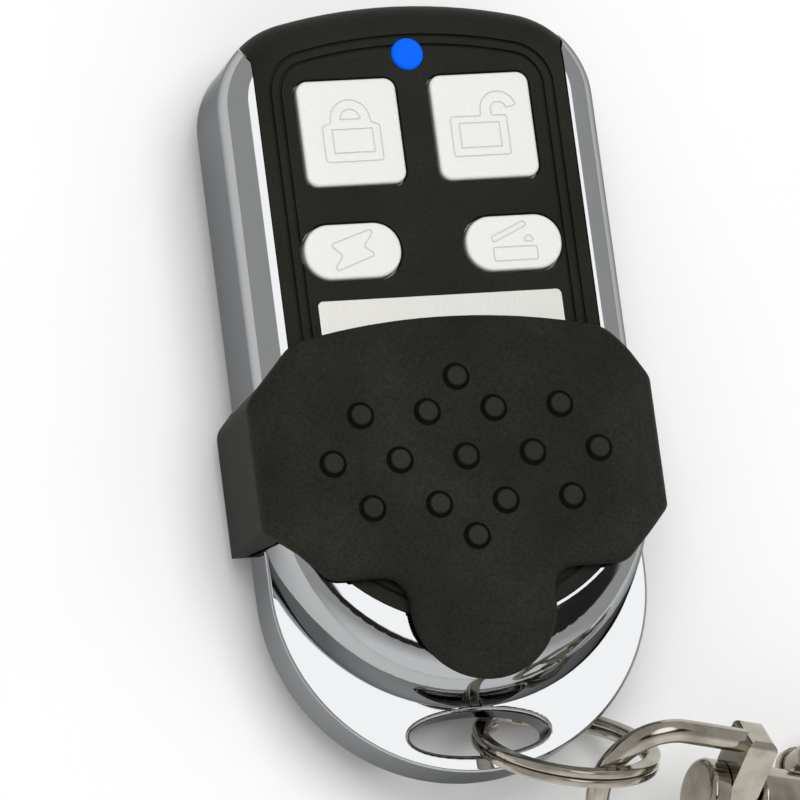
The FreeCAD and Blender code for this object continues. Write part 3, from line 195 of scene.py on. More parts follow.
def black_abs(name, colour, pale, grain_mm, depth_mm, roughness, ringed=False):
    material, tree, place = new_finish(name)
    grain = add(tree, "ShaderNodeTexNoise", {
        "Vector": place, "Scale": per_mm(grain_mm), "Detail": 2.0, "Roughness": 0.6})
    patch = add(tree, "ShaderNodeTexNoise", {"Vector": place, "Scale": per_mm(9.0), "Detail": 2.0})
    mixed = add(tree, "ShaderNodeMath", {
        0: grain.outputs["Fac"], 1: patch.outputs["Fac"]}, operation="MULTIPLY")
    share = add(tree, "ShaderNodeMapRange", {
        "Value": mixed.outputs[0], "From Min": 0.12, "From Max": 0.42})
    colours = add(tree, "ShaderNodeMix", {
        "Factor": share.outputs[0], "A": linear(colour), "B": linear(pale)}, data_type="RGBA")
    sheen = SHEEN
    # Painted shade: beyond 0.8 mm from a bump's middle the colour turns dark and the specular level
    # drops, standing in for the shade on the bump's side and foot.
    if ringed:
        reach = add(tree, "ShaderNodeAttribute", attribute_name="from_middle").outputs["Fac"]
        ring = add(tree, "ShaderNodeMapRange", {
            "Value": reach, "From Min": 0.8 * MM, "From Max": 1.0 * MM},
            interpolation_type="SMOOTHSTEP")
        colours = add(tree, "ShaderNodeMix", {
            "Factor": ring.outputs[0], "A": colours.outputs["Result"], "B": linear("#10100e")},
            data_type="RGBA")
        sheen = add(tree, "ShaderNodeMapRange", {
            "Value": ring.outputs[0], "To Min": SHEEN, "To Max": 0.02}).outputs[0]
    shine = add(tree, "ShaderNodeMapRange", {
        "Value": patch.outputs["Fac"], "From Min": 0.3, "From Max": 0.7,
        "To Min": roughness - 0.05, "To Max": roughness + 0.05})
    bump = add(tree, "ShaderNodeBump", {
        "Height": grain.outputs["Fac"], "Strength": 0.6, "Distance": depth_mm * MM})
    surface(tree, add(tree, "ShaderNodeBsdfPrincipled", {
        "Base Color": colours.outputs["Result"], "IOR": 1.54, "Specular IOR Level": sheen,
        "Roughness": shine.outputs[0], "Normal": bump.outputs[0]}))
    return material


case_black = black_abs("moulded_black_abs", "#1f201c", "#292a24", 0.2, 0.012, 0.45)
cover_black = black_abs("grained_black_abs", "#1d1e1a", "#2d2e28", 0.26, 0.03, 0.52)
# The grip bumps' plastic has the painted shade ring on each bump's side and foot.
bump_black = black_abs("black_abs_painted_shade_ring", "#252621", "#31322c", 0.26, 0.02, 0.48, ringed=True)
print("made", case_black.name, cover_black.name, "and", bump_black.name)

# %% [markdown]
# ## Keys and nameplate
#
# The keys are white plastic under a thin satin silver lacquer, which shows as a very fine sparkle.
# Their pictograms are cut into the lacquer, and the groove looks grey. The nameplate is aluminium,
# brushed across its short side: a noise pulled long along Y gives the strokes.

# %% Key lacquer, groove and brushed plate
def key_lacquer():
    material, tree, place = new_finish("satin_silver_lacquer")
    fleck = add(tree, "ShaderNodeTexNoise", {"Vector": place, "Scale": per_mm(0.16), "Detail": 2.0})
    colours = add(tree, "ShaderNodeMix", {
        "Factor": fleck.outputs["Fac"], "A": linear("#d8d8d4"), "B": linear("#ecece8")},
        data_type="RGBA")
    bump = add(tree, "ShaderNodeBump", {
        "Height": fleck.outputs["Fac"], "Strength": 0.4, "Distance": 0.006 * MM})
    surface(tree, add(tree, "ShaderNodeBsdfPrincipled", {
        "Base Color": colours.outputs["Result"], "IOR": 1.5, "Metallic": 0.15,
        "Roughness": 0.42, "Normal": bump.outputs[0]}))
    return material


def groove_paint():
    material, tree, place = new_finish("engraved_groove")
    dust = add(tree, "ShaderNodeTexNoise", {"Vector": place, "Scale": per_mm(0.3), "Detail": 2.0})
    colours = add(tree, "ShaderNodeMix", {
        "Factor": dust.outputs["Fac"], "A": linear("#c4c4bf"), "B": linear("#d4d4cf")},
        data_type="RGBA")
    surface(tree, add(tree, "ShaderNodeBsdfPrincipled", {
        "Base Color": colours.outputs["Result"], "IOR": 1.5, "Roughness": 0.6}))
    return material


def brushed_aluminium():
    material, tree, place = new_finish("brushed_aluminium")
    pulled = add(tree, "ShaderNodeMapping", {
        "Vector": place, "Scale": (per_mm(0.12), per_mm(5.0), per_mm(1.0))})
    strokes = add(tree, "ShaderNodeTexNoise", {
        "Vector": pulled.outputs[0], "Scale": 1.0, "Detail": 4.0, "Roughness": 0.65})
    colours = add(tree, "ShaderNodeMix", {
        "Factor": strokes.outputs["Fac"], "A": linear("#d2d1cc"), "B": linear("#f0efea")},
        data_type="RGBA")
    rough = add(tree, "ShaderNodeMapRange", {
        "Value": strokes.outputs["Fac"], "To Min": 0.3, "To Max": 0.5})
    bump = add(tree, "ShaderNodeBump", {
        "Height": strokes.outputs["Fac"], "Strength": 0.5, "Distance": 0.008 * MM})
    surface(tree, add(tree, "ShaderNodeBsdfPrincipled", {
        "Base Color": colours.outputs["Result"], "Metallic": 1.0, "Anisotropic": 0.5,
        "Roughness": rough.outputs[0], "Normal": bump.outputs[0]}))
    return material


key_white = key_lacquer()
groove_grey = groove_paint()
plate = brushed_aluminium()
print("made", key_white.name, groove_grey.name, plate.name)

# %% [markdown]
# ## The lamp
#
# The indicator is a clear blue lens over a lit diode. The photograph shows it glowing evenly, so the
# lens gives a little of its own light under a glossy skin.

# %% Blue lens
def lit_lens():
    material, tree, place = new_finish("lit_blue_lens")
    core = add(tree, "ShaderNodeTexNoise", {"Vector": place, "Scale": per_mm(1.2), "Detail": 1.0})
    glow = add(tree, "ShaderNodeMix", {
        "Factor": core.outputs["Fac"], "A": linear("#0060f0"), "B": linear("#0078ff")},
        data_type="RGBA")
    surface(tree, add(tree, "ShaderNodeBsdfPrincipled", {
        "Base Color": linear("#0048c8"), "IOR": 1.49, "Specular IOR Level": 0.05, "Roughness": 0.15,
        "Emission Color": glow.outputs["Result"], "Emission Strength": 0.45}))
    return material


lamp_blue = lit_lens()
print("made", lamp_blue.name)

# %% [markdown]
# ## Nickel and plain steel
#
# The ring and the clasp are nickel-plated: warmer and a little duller than the chrome, with fine
# scratches from rubbing against each other. The scratches are a noise pulled long in two directions.

# %% Nickel and steels
def worn_metal(name, colour, dark, roughness, scratch_mm, scratch_depth_mm):
    material, tree, place = new_finish(name)
    tarnish = add(tree, "ShaderNodeTexNoise", {"Vector": place, "Scale": per_mm(2.5), "Detail": 4.0})
    tone = add(tree, "ShaderNodeMapRange", {
        "Value": tarnish.outputs["Fac"], "From Min": 0.4, "From Max": 0.75})
    colours = add(tree, "ShaderNodeMix", {
        "Factor": tone.outputs[0], "A": linear(colour), "B": linear(dark)}, data_type="RGBA")
    pulled = add(tree, "ShaderNodeMapping", {
        "Vector": place, "Rotation": (0.3, 0.5, 0.7),
        "Scale": (per_mm(scratch_mm), per_mm(4.0), per_mm(scratch_mm))})
    scratches = add(tree, "ShaderNodeTexNoise", {
        "Vector": pulled.outputs[0], "Scale": 1.0, "Detail": 3.0, "Roughness": 0.7})
    rough = add(tree, "ShaderNodeMapRange", {
        "Value": scratches.outputs["Fac"], "From Min": 0.3, "From Max": 0.8,
        "To Min": roughness * 0.6, "To Max": roughness * 1.6})
    bump = add(tree, "ShaderNodeBump", {
        "Height": scratches.outputs["Fac"], "Strength": 0.3, "Distance": scratch_depth_mm * MM})
    surface(tree, add(tree, "ShaderNodeBsdfPrincipled", {
        "Base Color": colours.outputs["Result"], "Metallic": 1.0,
        "Roughness": rough.outputs[0], "Normal": bump.outputs[0]}))
    return material


nickel = worn_metal("polished_nickel_plating", "#b4aea2", "#918a7f", 0.12, 0.1, 0.006)
screw_zinc = worn_metal("zinc_plated_steel", "#b9bcbf", "#8f9295", 0.28, 0.15, 0.01)
contact_nickel = worn_metal("nickel_spring_steel", "#c6c4be", "#9d9b94", 0.22, 0.12, 0.008)
tin_can = worn_metal("tinned_steel", "#c4c6c8", "#a4a6a8", 0.3, 0.2, 0.01)
print("made", nickel.name, screw_zinc.name, contact_nickel.name, tin_can.name)

# %% [markdown]
# ## Inside finishes
#
# What lies inside the case shows in no view from outside, but each piece still gets what it is made
# of: green solder mask with its faint weave, dark moulding, glazed ceramic and a bare cell sleeve.

# %% Board, mouldings, ceramic and cell
def speckled(name, colour, pale, speck_mm, depth_mm, roughness, metallic=0.0, coat=0.0):
    material, tree, place = new_finish(name)
    speck = add(tree, "ShaderNodeTexNoise", {
        "Vector": place, "Scale": per_mm(speck_mm), "Detail": 3.0})
    colours = add(tree, "ShaderNodeMix", {
        "Factor": speck.outputs["Fac"], "A": linear(colour), "B": linear(pale)}, data_type="RGBA")
    bump = add(tree, "ShaderNodeBump", {
        "Height": speck.outputs["Fac"], "Strength": 0.4, "Distance": depth_mm * MM})
    surface(tree, add(tree, "ShaderNodeBsdfPrincipled", {
        "Base Color": colours.outputs["Result"], "IOR": 1.5, "Roughness": roughness,
        "Metallic": metallic, "Coat Weight": coat, "Normal": bump.outputs[0]}))
    return material


board_green = speckled("green_solder_mask", "#0f5a2c", "#1c7a3f", 0.4, 0.01, 0.3, coat=0.4)
dark_moulding = speckled("dark_glass_filled_nylon", "#161616", "#222222", 0.3, 0.01, 0.5)
trimmer_white = speckled("glazed_ceramic", "#d8d3c6", "#e9e5da", 0.5, 0.004, 0.25)
small_ceramic = speckled("sintered_ceramic", "#6a5238", "#8a6c4c", 0.3, 0.01, 0.5)
cell_sleeve = speckled("bare_cell_sleeve", "#a8a8a4", "#c4c4c0", 1.5, 0.004, 0.3, metallic=0.6)
print("made", board_green.name, dark_moulding.name, trimmer_white.name, cell_sleeve.name)

# %% [markdown]
# ## Finishes on the construction's pieces
#
# The shapes from the construction are already right and smooth, so most of them only need their
# finish. A node's mesh stays as it is, and only its material slot changes.

# %% Hand out the finishes
FINISH_OF = {
    "chrome_frame": chrome,
    "front_panel": case_black,
    "back_shell": case_black,
    "slide_cover": cover_black,
    "nameplate": plate,
    "indicator_lamp": lamp_blue,
    "circuit_board": board_green,
    "switch_housings": dark_moulding,
    "controller_chip": dark_moulding,
    "resonator_can": tin_can,
    "tuning_trimmer": trimmer_white,
    "small_parts": small_ceramic,
    "battery_cell": cell_sleeve,
    "battery_spring": contact_nickel,
    "battery_contact": contact_nickel,
    "case_screws": screw_zinc,
    "board_screws": screw_zinc,
    "split_ring": nickel,
    "clasp_loop": nickel,
    "swivel_post": nickel,
    "claw_body": nickel,
    "claw_gate": nickel,
    "gate_pin": nickel,
    "gate_spring": contact_nickel,
}
KEYS = ("lock_key", "unlock_key", "power_key", "boot_key")
for key in KEYS:
    FINISH_OF[key] = key_white
    FINISH_OF[key + "_plunger"] = dark_moulding
for name, material in FINISH_OF.items():
    mesh = nodes[name].data
    mesh.materials.clear()
    mesh.materials.append(material)
print("finishes given to", len(FINISH_OF), "pieces")

# %% [markdown]
# ## Pictograms
#
# Each key carries a drawing in one hairline: a closed padlock, an open one, a bolt, and an open lid
# on the fourth key. They could be painted, but the photograph shows cut grooves with an edge that
# catches light. So each line becomes a thin wall along its path, and a boolean cuts those walls out
# of a copy of the key. The walls carry the groove's material, and the cut faces take it from them.
#
# A drawing is a list of closed outlines in millimetres from the key's middle. Arcs are made by one
# function, and corners are rounded by walking a short arc round each.

# %% Outline helpers
LINE_WIDTH = 0.14
LINE_DEPTH = 0.05


def arc(x, y, radius, start, end, steps=14):
    """Points on an arc, in degrees, from start to end."""
    angles = [math.radians(start + (end - start) * i / steps) for i in range(steps + 1)]
    return [(x + radius * math.cos(a), y + radius * math.sin(a)) for a in angles]


def rounded(points, radius, steps=5):
    """The closed outline with an arc at each corner, smaller than asked where legs are short."""
    smooth = []
    for i, corner in enumerate(points):
        here = Vector(corner)
        before = Vector(points[i - 1]) - here
        after = Vector(points[(i + 1) % len(points)]) - here
        half_angle = before.angle(after) / 2
        leg = min(radius / math.tan(half_angle), 0.45 * min(before.length, after.length))
        start, end = here + before.normalized() * leg, here + after.normalized() * leg
        inward = (before.normalized() + after.normalized()).normalized()
        centre = here + inward * leg / math.cos(half_angle)
        for step in range(steps + 1):
            way = (start.lerp(end, step / steps) - centre).normalized()
            smooth.append(tuple(centre + way * (start - centre).length))
    return smooth


def wall(mesh, outline, centre, top, width, depth):
    """Adds a thin closed wall along a closed outline to a bmesh."""
    count = len(outline)
    rings = []
    for side in (-0.5, 0.5):
        for z in (top - depth, top + depth):
            ring = []
            for i in range(count):
                before = Vector(outline[i]) - Vector(outline[i - 1])
                after = Vector(outline[(i + 1) % count]) - Vector(outline[i])
                normal_a = Vector((before.y, -before.x)).normalized()
                normal_b = Vector((after.y, -after.x)).normalized()
                miter = normal_a + normal_b
                miter /= max(miter.length_squared / 2, 0.4)
                spot = Vector(outline[i]) + miter * side * width
                ring.append(mesh.verts.new((centre.x + spot.x * MM, centre.y + spot.y * MM, z)))
            rings.append(ring)
    in_low, in_high, out_low, out_high = rings
    for i in range(count):
        j = (i + 1) % count
        for a, b in ((in_low, in_high), (in_high, out_high), (out_high, out_low), (out_low, in_low)):
            mesh.faces.new((a[i], a[j], b[j], b[i]))


print("line", LINE_WIDTH, "mm wide and", LINE_DEPTH, "mm deep")

# %% Draw the four pictograms
def box_outline(x, y, width, height):
    w, h = width / 2, height / 2
    return [(x - w, y - h), (x + w, y - h), (x + w, y + h), (x - w, y + h)]


def closed_padlock():
    body = [(-2.75, -2.85), (2.75, -2.85), (2.75, 0.6), (1.95, 0.85)]
    body += arc(0.0, 1.15, 1.9, 0, 180)
    body += [(-1.95, 0.85), (-2.75, 0.6)]
    shackle = arc(0.0, 1.2, 0.95, 0, 180)
    return [rounded(body, 0.35), box_outline(0.08, -0.88, 3.85, 2.25), rounded(shackle, 0.15)]


def open_padlock():
    body = [(-3.25, -2.9), (2.2, -2.9), (2.2, 0.9), (0.75, 0.9)]
    body += arc(1.5, 1.45, 0.75, 180, 12)
    body += arc(1.5, 1.45, 1.75, 12, 180)
    body += [(-0.25, 0.9), (-3.25, 0.9)]
    return [rounded(body, 0.25), box_outline(-0.52, -0.92, 3.85, 2.35)]


def bolt():
    points = [(-2.15, 0.65), (2.35, 2.1), (1.05, 0.35), (2.15, -0.5), (-2.2, -2.05), (-1.05, -0.45)]
    return [rounded(points, 0.22)]


def open_lid():
    tray = [(-2.1, -1.75), (2.1, -1.75), (2.1, -0.45), (-2.1, -0.45)]
    lid = [(-2.1, 0.0), (1.35, 1.55), (1.1, 2.0), (-2.1, 0.6)]
    arrow = [(0.75, 0.0), (2.05, 0.0), (1.4, 0.7)]
    return [rounded(outline, 0.2) for outline in (tray, lid, arrow)]


DRAWINGS = {
    "lock_key": closed_padlock(),
    "unlock_key": open_padlock(),
    "power_key": bolt(),
    "boot_key": open_lid(),
}
print({name: [len(o) for o in outlines] for name, outlines in DRAWINGS.items()})

# %% [markdown]
# ## Cutting the grooves
#
# The copy of the key is merged first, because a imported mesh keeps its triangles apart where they
# meet at an edge, and it drops the shading normals that came with it, which no longer fit once there
# are grooves. The manifold solver needs both meshes closed, which walls and key are. A groove of a
# tenth of a millimetre is tiny in metres, so both meshes are cut at a thousand times their size and
# brought back afterwards.

# %% Cut the keys
MERGE_DISTANCE = 0.002 * MM
CUT_SCALE = 1000.0
LEVEL_NORMAL = 0.9999
KEY_EDGE_ANGLE = 30


def merged_copy(node_name, piece_name):
    """A closed copy of a node's mesh as a new object."""
    mesh = nodes[node_name].data.copy()
    mesh.name = piece_name
    shading = mesh.attributes.get("custom_normal")
    if shading:
        mesh.attributes.remove(shading)
    work = bmesh.new()
    work.from_mesh(mesh)
    bmesh.ops.remove_doubles(work, verts=work.verts, dist=MERGE_DISTANCE)
    work.to_mesh(mesh)
    work.free()
    return linked(mesh, piece_name)


def linked(mesh, name):
    """An object for a mesh, in the scene, at the origin."""
    piece = bpy.data.objects.new(name, mesh)
    bpy.context.scene.collection.objects.link(piece)
    return piece


def baked(piece):
    """Turns the piece and its modifiers into a plain mesh."""
    graph = bpy.context.evaluated_depsgraph_get()
    mesh = bpy.data.meshes.new_from_object(piece.evaluated_get(graph))
    piece.modifiers.clear()
    piece.data = mesh
    return piece


def smooth_by_angle(mesh, degrees):
    """Smooth shading, with edges sharper than the angle kept hard, and level faces left flat."""
    mesh.polygons.foreach_set("use_smooth", [abs(f.normal.z) < LEVEL_NORMAL for f in mesh.polygons])
    mesh.set_sharp_from_angle(angle=math.radians(degrees))


def groove_walls(node_name):
    """The thin walls of a key's drawing, as an object that cuts."""
    low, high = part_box(node_name)
    work = bmesh.new()
    for outline in DRAWINGS[node_name]:
        wall(work, outline, (low + high) / 2, high.z, LINE_WIDTH, LINE_DEPTH * MM)
    bmesh.ops.recalc_face_normals(work, faces=work.faces)
    mesh = bpy.data.meshes.new("groove_walls")
    work.to_mesh(mesh)
    work.free()
    mesh.materials.append(groove_grey)
    return linked(mesh, "groove_walls")


def engraved_key(node_name):
    piece = merged_copy(node_name, "engraved_" + node_name)
    tool = groove_walls(node_name)
    for mesh in (piece.data, tool.data):
        mesh.transform(Matrix.Scale(CUT_SCALE, 4))
    cut = piece.modifiers.new("grooves", "BOOLEAN")
    cut.operation = "DIFFERENCE"
    cut.solver = "MANIFOLD"
    cut.material_mode = "TRANSFER"
    cut.object = tool
    baked(piece)
    bpy.data.objects.remove(tool)
    piece.data.transform(Matrix.Scale(1 / CUT_SCALE, 4))
    smooth_by_angle(piece.data, KEY_EDGE_ANGLE)
    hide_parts(node_name)
    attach(piece, node_name)
    return piece


for key in KEYS:
    piece = engraved_key(key)
    print(piece.name, len(piece.data.polygons), "faces", [m.name for m in piece.data.materials])

# %% [markdown]
# ## Grip bumps
#
# Fifteen small bumps on the cover stand in rows of one, four, five, four and one. One bump is turned
# from a profile, as on a lathe: a nearly flat cap for the thumb, a round shoulder, a steep side and a
# soft foot in the roof. Geometry Nodes then lay out the rows from two spacings and put the bump on
# every point, so a change of one number moves them all. Each copy carries the distance from its own
# middle, which its plastic needs for the painted shade, a darker ring on the bump's side and foot.

# %% Helpers for turned shapes and for trees
def lathe(name, profile, steps):
    """A closed mesh turned about Z from (radius, height) points in mm, its ends on Z."""
    work = bmesh.new()
    rings = []
    for radius, height in profile[1:-1]:
        turns = [2 * math.pi * i / steps for i in range(steps)]
        rings.append([work.verts.new((
            radius * math.cos(t) * MM, radius * math.sin(t) * MM, height * MM)) for t in turns])
    top = work.verts.new((0, 0, profile[0][1] * MM))
    bottom = work.verts.new((0, 0, profile[-1][1] * MM))
    for i in range(steps):
        j = (i + 1) % steps
        work.faces.new((top, rings[0][i], rings[0][j]))
        work.faces.new((bottom, rings[-1][j], rings[-1][i]))
        for upper, lower in zip(rings, rings[1:]):
            work.faces.new((upper[i], lower[i], lower[j], upper[j]))
    bmesh.ops.recalc_face_normals(work, faces=work.faces)
    mesh = bpy.data.meshes.new(name)
    work.to_mesh(mesh)
    work.free()
    mesh.polygons.foreach_set("use_smooth", [True] * len(mesh.polygons))
    return mesh


def new_tree(name, sockets):
    """An empty geometry tree with named inputs, and the node that gives their values."""
    tree = bpy.data.node_groups.new(name, "GeometryNodeTree")
    for label, kind in sockets.items():
        tree.interface.new_socket(label, in_out="INPUT", socket_type=kind)
    tree.interface.new_socket("Geometry", in_out="OUTPUT", socket_type="NodeSocketGeometry")
    return tree, add(tree, "NodeGroupInput").outputs


def close_tree(tree, geometry, material):
    """Ends a tree: real geometry instead of instances, its material, and the output."""
    real = add(tree, "GeometryNodeRealizeInstances", {"Geometry": geometry})
    painted = add(tree, "GeometryNodeSetMaterial", {
        "Geometry": real.outputs[0], "Material": material})
    add(tree, "NodeGroupOutput", {"Geometry": painted.outputs[0]})


def grown(tree, name, values):
    """Runs a tree with the given inputs and returns what it makes as a plain object."""
    piece = linked(bpy.data.meshes.new(name + "_start"), name)
    change = piece.modifiers.new("tree", "NODES")
    change.node_group = tree
    for item in tree.interface.items_tree:
        if item.in_out == "INPUT":
            change[item.identifier] = values[item.name]
    return baked(piece)


print("helpers ready")

# %% One grip bump
BUMP_RISE = 0.45
PROUD = 0.02
CAP_RADIUS = 0.8
CAP_SAG = 0.05
FOOT_RADIUS = 1.3
SUNK = 0.08
CAP_STEPS = 6
SIDE_STEPS = 9
LATHE_STEPS = 40


def bump_profile():
    """Cap, side and foot of a bump, closed by a flat underside that lies sunk in the roof."""
    top = BUMP_RISE + PROUD
    points = []
    for step in range(CAP_STEPS + 1):
        t = step / CAP_STEPS
        points.append((CAP_RADIUS * t, top - CAP_SAG * t * t))
    for step in range(1, SIDE_STEPS + 1):
        t = step / SIDE_STEPS
        radius = CAP_RADIUS + (FOOT_RADIUS - CAP_RADIUS) * t
        points.append((radius, (top - CAP_SAG) * (1 - t * t * (3 - 2 * t))))
    return points + [(FOOT_RADIUS, -SUNK), (0.0, -SUNK)]


one_bump = linked(lathe("one_grip_bump", bump_profile(), LATHE_STEPS), "one_grip_bump")
print("one bump:", len(one_bump.data.polygons), "faces")

# %% Lay out the fifteen bumps
BUMP_PITCH = 6.33
NEAR_ROW = 4.35
FAR_ROW = 7.5
BUMPS_Y = -8.06
ROWS = (
    (1, "Far Row", 1),
    (4, "Near Row", 1),
    (5, None, 0),
    (4, "Near Row", -1),
    (1, "Far Row", -1),
)

tree, given = new_tree("grip_bump_rows", {
    "Bump": "NodeSocketObject", "Pitch": "NodeSocketFloat", "Near Row": "NodeSocketFloat",
    "Far Row": "NodeSocketFloat", "Middle": "NodeSocketVector", "Material": "NodeSocketMaterial"})
source = add(tree, "GeometryNodeObjectInfo", {"Object": given["Bump"]})
place = add(tree, "GeometryNodeInputPosition").outputs[0]
level = add(tree, "ShaderNodeVectorMath", {0: place, 1: (1, 1, 0)}, operation="MULTIPLY")
reach = add(tree, "ShaderNodeVectorMath", {0: level.outputs[0]}, operation="LENGTH")
marked = add(tree, "GeometryNodeStoreNamedAttribute", {
    "Geometry": source.outputs["Geometry"], "Name": "from_middle", "Value": reach.outputs["Value"]})
rows = add(tree, "GeometryNodeJoinGeometry")
for count, row, side in ROWS:
    start_x = add(tree, "ShaderNodeMath", {
        0: given["Pitch"], 1: -(count - 1) / 2}, operation="MULTIPLY")
    start = add(tree, "ShaderNodeCombineXYZ", {"X": start_x.outputs[0]})
    if row:
        start_y = add(tree, "ShaderNodeMath", {0: given[row], 1: side}, operation="MULTIPLY")
        tree.links.new(start_y.outputs[0], start.inputs["Y"])
    first = add(tree, "ShaderNodeVectorMath", {
        0: start.outputs[0], 1: given["Middle"]}, operation="ADD")
    step = add(tree, "ShaderNodeCombineXYZ", {"X": given["Pitch"]})
    line = add(tree, "GeometryNodeMeshLine", {
        "Count": count, "Start Location": first.outputs[0], "Offset": step.outputs[0]})
    tree.links.new(line.outputs[0], rows.inputs[0])
spread = add(tree, "GeometryNodeInstanceOnPoints", {
    "Points": rows.outputs[0], "Instance": marked.outputs[0]})
close_tree(tree, spread.outputs[0], given["Material"])

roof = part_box("slide_cover")[1].z - BUMP_RISE * MM
bumps = grown(tree, "grip_bumps", {
    "Bump": one_bump, "Pitch": BUMP_PITCH * MM, "Near Row": NEAR_ROW * MM, "Far Row": FAR_ROW * MM,
    "Middle": (0.0, BUMPS_Y * MM, roof), "Material": bump_black})
bpy.data.objects.remove(one_bump)
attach(bumps, "cover")
bumps_top = max(v.co.z for v in bumps.data.vertices) / MM
print("bumps:", len(bumps.data.polygons), "faces, top at", round(bumps_top, 2))

# %% [markdown]
# ## Coil springs
#
# The construction has two plain stand-ins for coils: a sleeve on the gate's pin and a cone on the
# cell's contact. Real ones are wound wire. A spiral curve swept by a small circle is exactly that,
# and one tree makes both: the gate's close coil of even width, and the contact's cone that narrows
# towards the cell.

# %% Coil tree
STEPS_PER_TURN = 28
WIRE_SIDES = 10
COIL_EDGE_ANGLE = 50

tree, given = new_tree("wound_coil", {
    "Start Radius": "NodeSocketFloat", "End Radius": "NodeSocketFloat", "Height": "NodeSocketFloat",
    "Turns": "NodeSocketFloat", "Wire Radius": "NodeSocketFloat", "Material": "NodeSocketMaterial"})
spiral = add(tree, "GeometryNodeCurveSpiral", {
    "Resolution": STEPS_PER_TURN, "Rotations": given["Turns"], "Start Radius": given["Start Radius"],
    "End Radius": given["End Radius"], "Height": given["Height"]})
round_wire = add(tree, "GeometryNodeCurvePrimitiveCircle", {
    "Resolution": WIRE_SIDES, "Radius": given["Wire Radius"]})
wire = add(tree, "GeometryNodeCurveToMesh", {
    "Curve": spiral.outputs[0], "Profile Curve": round_wire.outputs[0], "Fill Caps": True})
close_tree(tree, wire.outputs[0], given["Material"])
coil_tree = tree


def coil(name, start, end, height, turns, wire, place):
    """A coil in mm, along Z from its foot, then put in its place."""
    piece = grown(coil_tree, name, {
        "Start Radius": start * MM, "End Radius": end * MM, "Height": height * MM, "Turns": turns,
        "Wire Radius": wire * MM, "Material": contact_nickel})
    piece.data.transform(place)
    smooth_by_angle(piece.data, COIL_EDGE_ANGLE)
    return piece


joints = {joint["name"]: joint for joint in frame["joints"]}
pin_way = Vector(joints["gate_open"]["axis"]).normalized()
pin_middle = Vector(joints["gate_open"]["pos_m"])
GATE_COIL_RADIUS = 0.86
GATE_COIL_HEIGHT = 0.8
GATE_COIL_TURNS = 3.25
GATE_WIRE_RADIUS = 0.11
foot = pin_middle - pin_way * GATE_COIL_HEIGHT / 2 * MM
turn_to_pin = pin_way.to_track_quat("Z", "Y").to_matrix().to_4x4()
gate_coil = coil(
    "gate_coil", GATE_COIL_RADIUS, GATE_COIL_RADIUS, GATE_COIL_HEIGHT, GATE_COIL_TURNS,
    GATE_WIRE_RADIUS, Matrix.Translation(foot) @ turn_to_pin)
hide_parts("gate_spring")
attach(gate_coil, "claw")
print("gate coil:", len(gate_coil.data.polygons), "faces")

# %% [markdown]
# The cell's other contact is the same leaf as the flat one, on the opposite wall, with the cone coil
# wound on it. So the leaf is a mirrored copy, and the coil's last turn lies half sunk in its face.

# %% Wound contact
CONE_FOOT_RADIUS = 2.8
CONE_END_RADIUS = 1.6
CONE_HEIGHT = 1.6
CONE_TURNS = 3.5
CONE_WIRE_RADIUS = 0.2

leaf_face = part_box("battery_contact")[0].x
cell_low, cell_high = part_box("battery_cell")
cell_middle = (cell_low + cell_high) / 2
contact = merged_copy("battery_contact", "wound_contact")
contact.data.transform(Matrix.Scale(-1, 4, (1, 0, 0)))
contact.data.flip_normals()
turn_to_cell = Vector((1, 0, 0)).to_track_quat("Z", "Y").to_matrix().to_4x4()
cone_foot = Matrix.Translation((-leaf_face, cell_middle.y, cell_middle.z))
cone_coil = coil(
    "cone_coil", CONE_FOOT_RADIUS, CONE_END_RADIUS, CONE_HEIGHT, CONE_TURNS,
    CONE_WIRE_RADIUS, cone_foot @ turn_to_cell)
both = bmesh.new()
both.from_mesh(contact.data)
both.from_mesh(cone_coil.data)
both.to_mesh(contact.data)
both.free()
bpy.data.objects.remove(cone_coil)
smooth_by_angle(contact.data, COIL_EDGE_ANGLE)
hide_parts("battery_spring")
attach(contact, "case")
print("wound contact:", len(contact.data.polygons), "faces")

# %% [markdown]
# ## Floor and light
#
# A white matt floor carries the remote. The room is a soft grey tent, brighter low down in front of the
# viewer. A white card hangs where level chrome looks for its reflection, so the tail and the crests of
# the rails read as bright metal, and a black flag hangs beside it, which draws the dark band that
# rolled chrome shows next to its bright edge. One large lamp overhead gives the soft shadow. It is
# hidden from reflections, so that the mirror of the frame shows the card and the tent alone.

# %% Floor
FLOOR_HALF = 1.5
FLOOR_DROP = 0.02


def floor_paint():
    material, tree, place = new_finish("pale_matt_floor")
    paper = add(tree, "ShaderNodeTexNoise", {"Vector": place, "Scale": per_mm(30.0), "Detail": 3.0})
    colours = add(tree, "ShaderNodeMix", {
        "Factor": paper.outputs["Fac"], "A": linear("#f5f5f5"), "B": linear("#f9f9f9")},
        data_type="RGBA")
    matt = add(tree, "ShaderNodeBsdfPrincipled", {
        "Base Color": colours.outputs["Result"], "Roughness": 0.9, "Specular IOR Level": 0.1})
    clear = add(tree, "ShaderNodeBsdfTransparent")
    behind = add(tree, "ShaderNodeNewGeometry").outputs["Backfacing"]
    both = add(tree, "ShaderNodeMixShader", {0: behind, 1: matt.outputs[0], 2: clear.outputs[0]})
    surface(tree, both)
    return material


def flat_square(name, half, height):
    mesh = bpy.data.meshes.new(name)
    corners = [(x * half, y * half, height) for x, y in ((-1, -1), (1, -1), (1, 1), (-1, 1))]
    mesh.from_pydata(corners, [], [(0, 1, 2, 3)])
    return linked(mesh, name)


floor = flat_square("floor", FLOOR_HALF, -FLOOR_DROP * MM)
floor.data.materials.append(floor_paint())
print("floor", 2 * FLOOR_HALF, "m square")

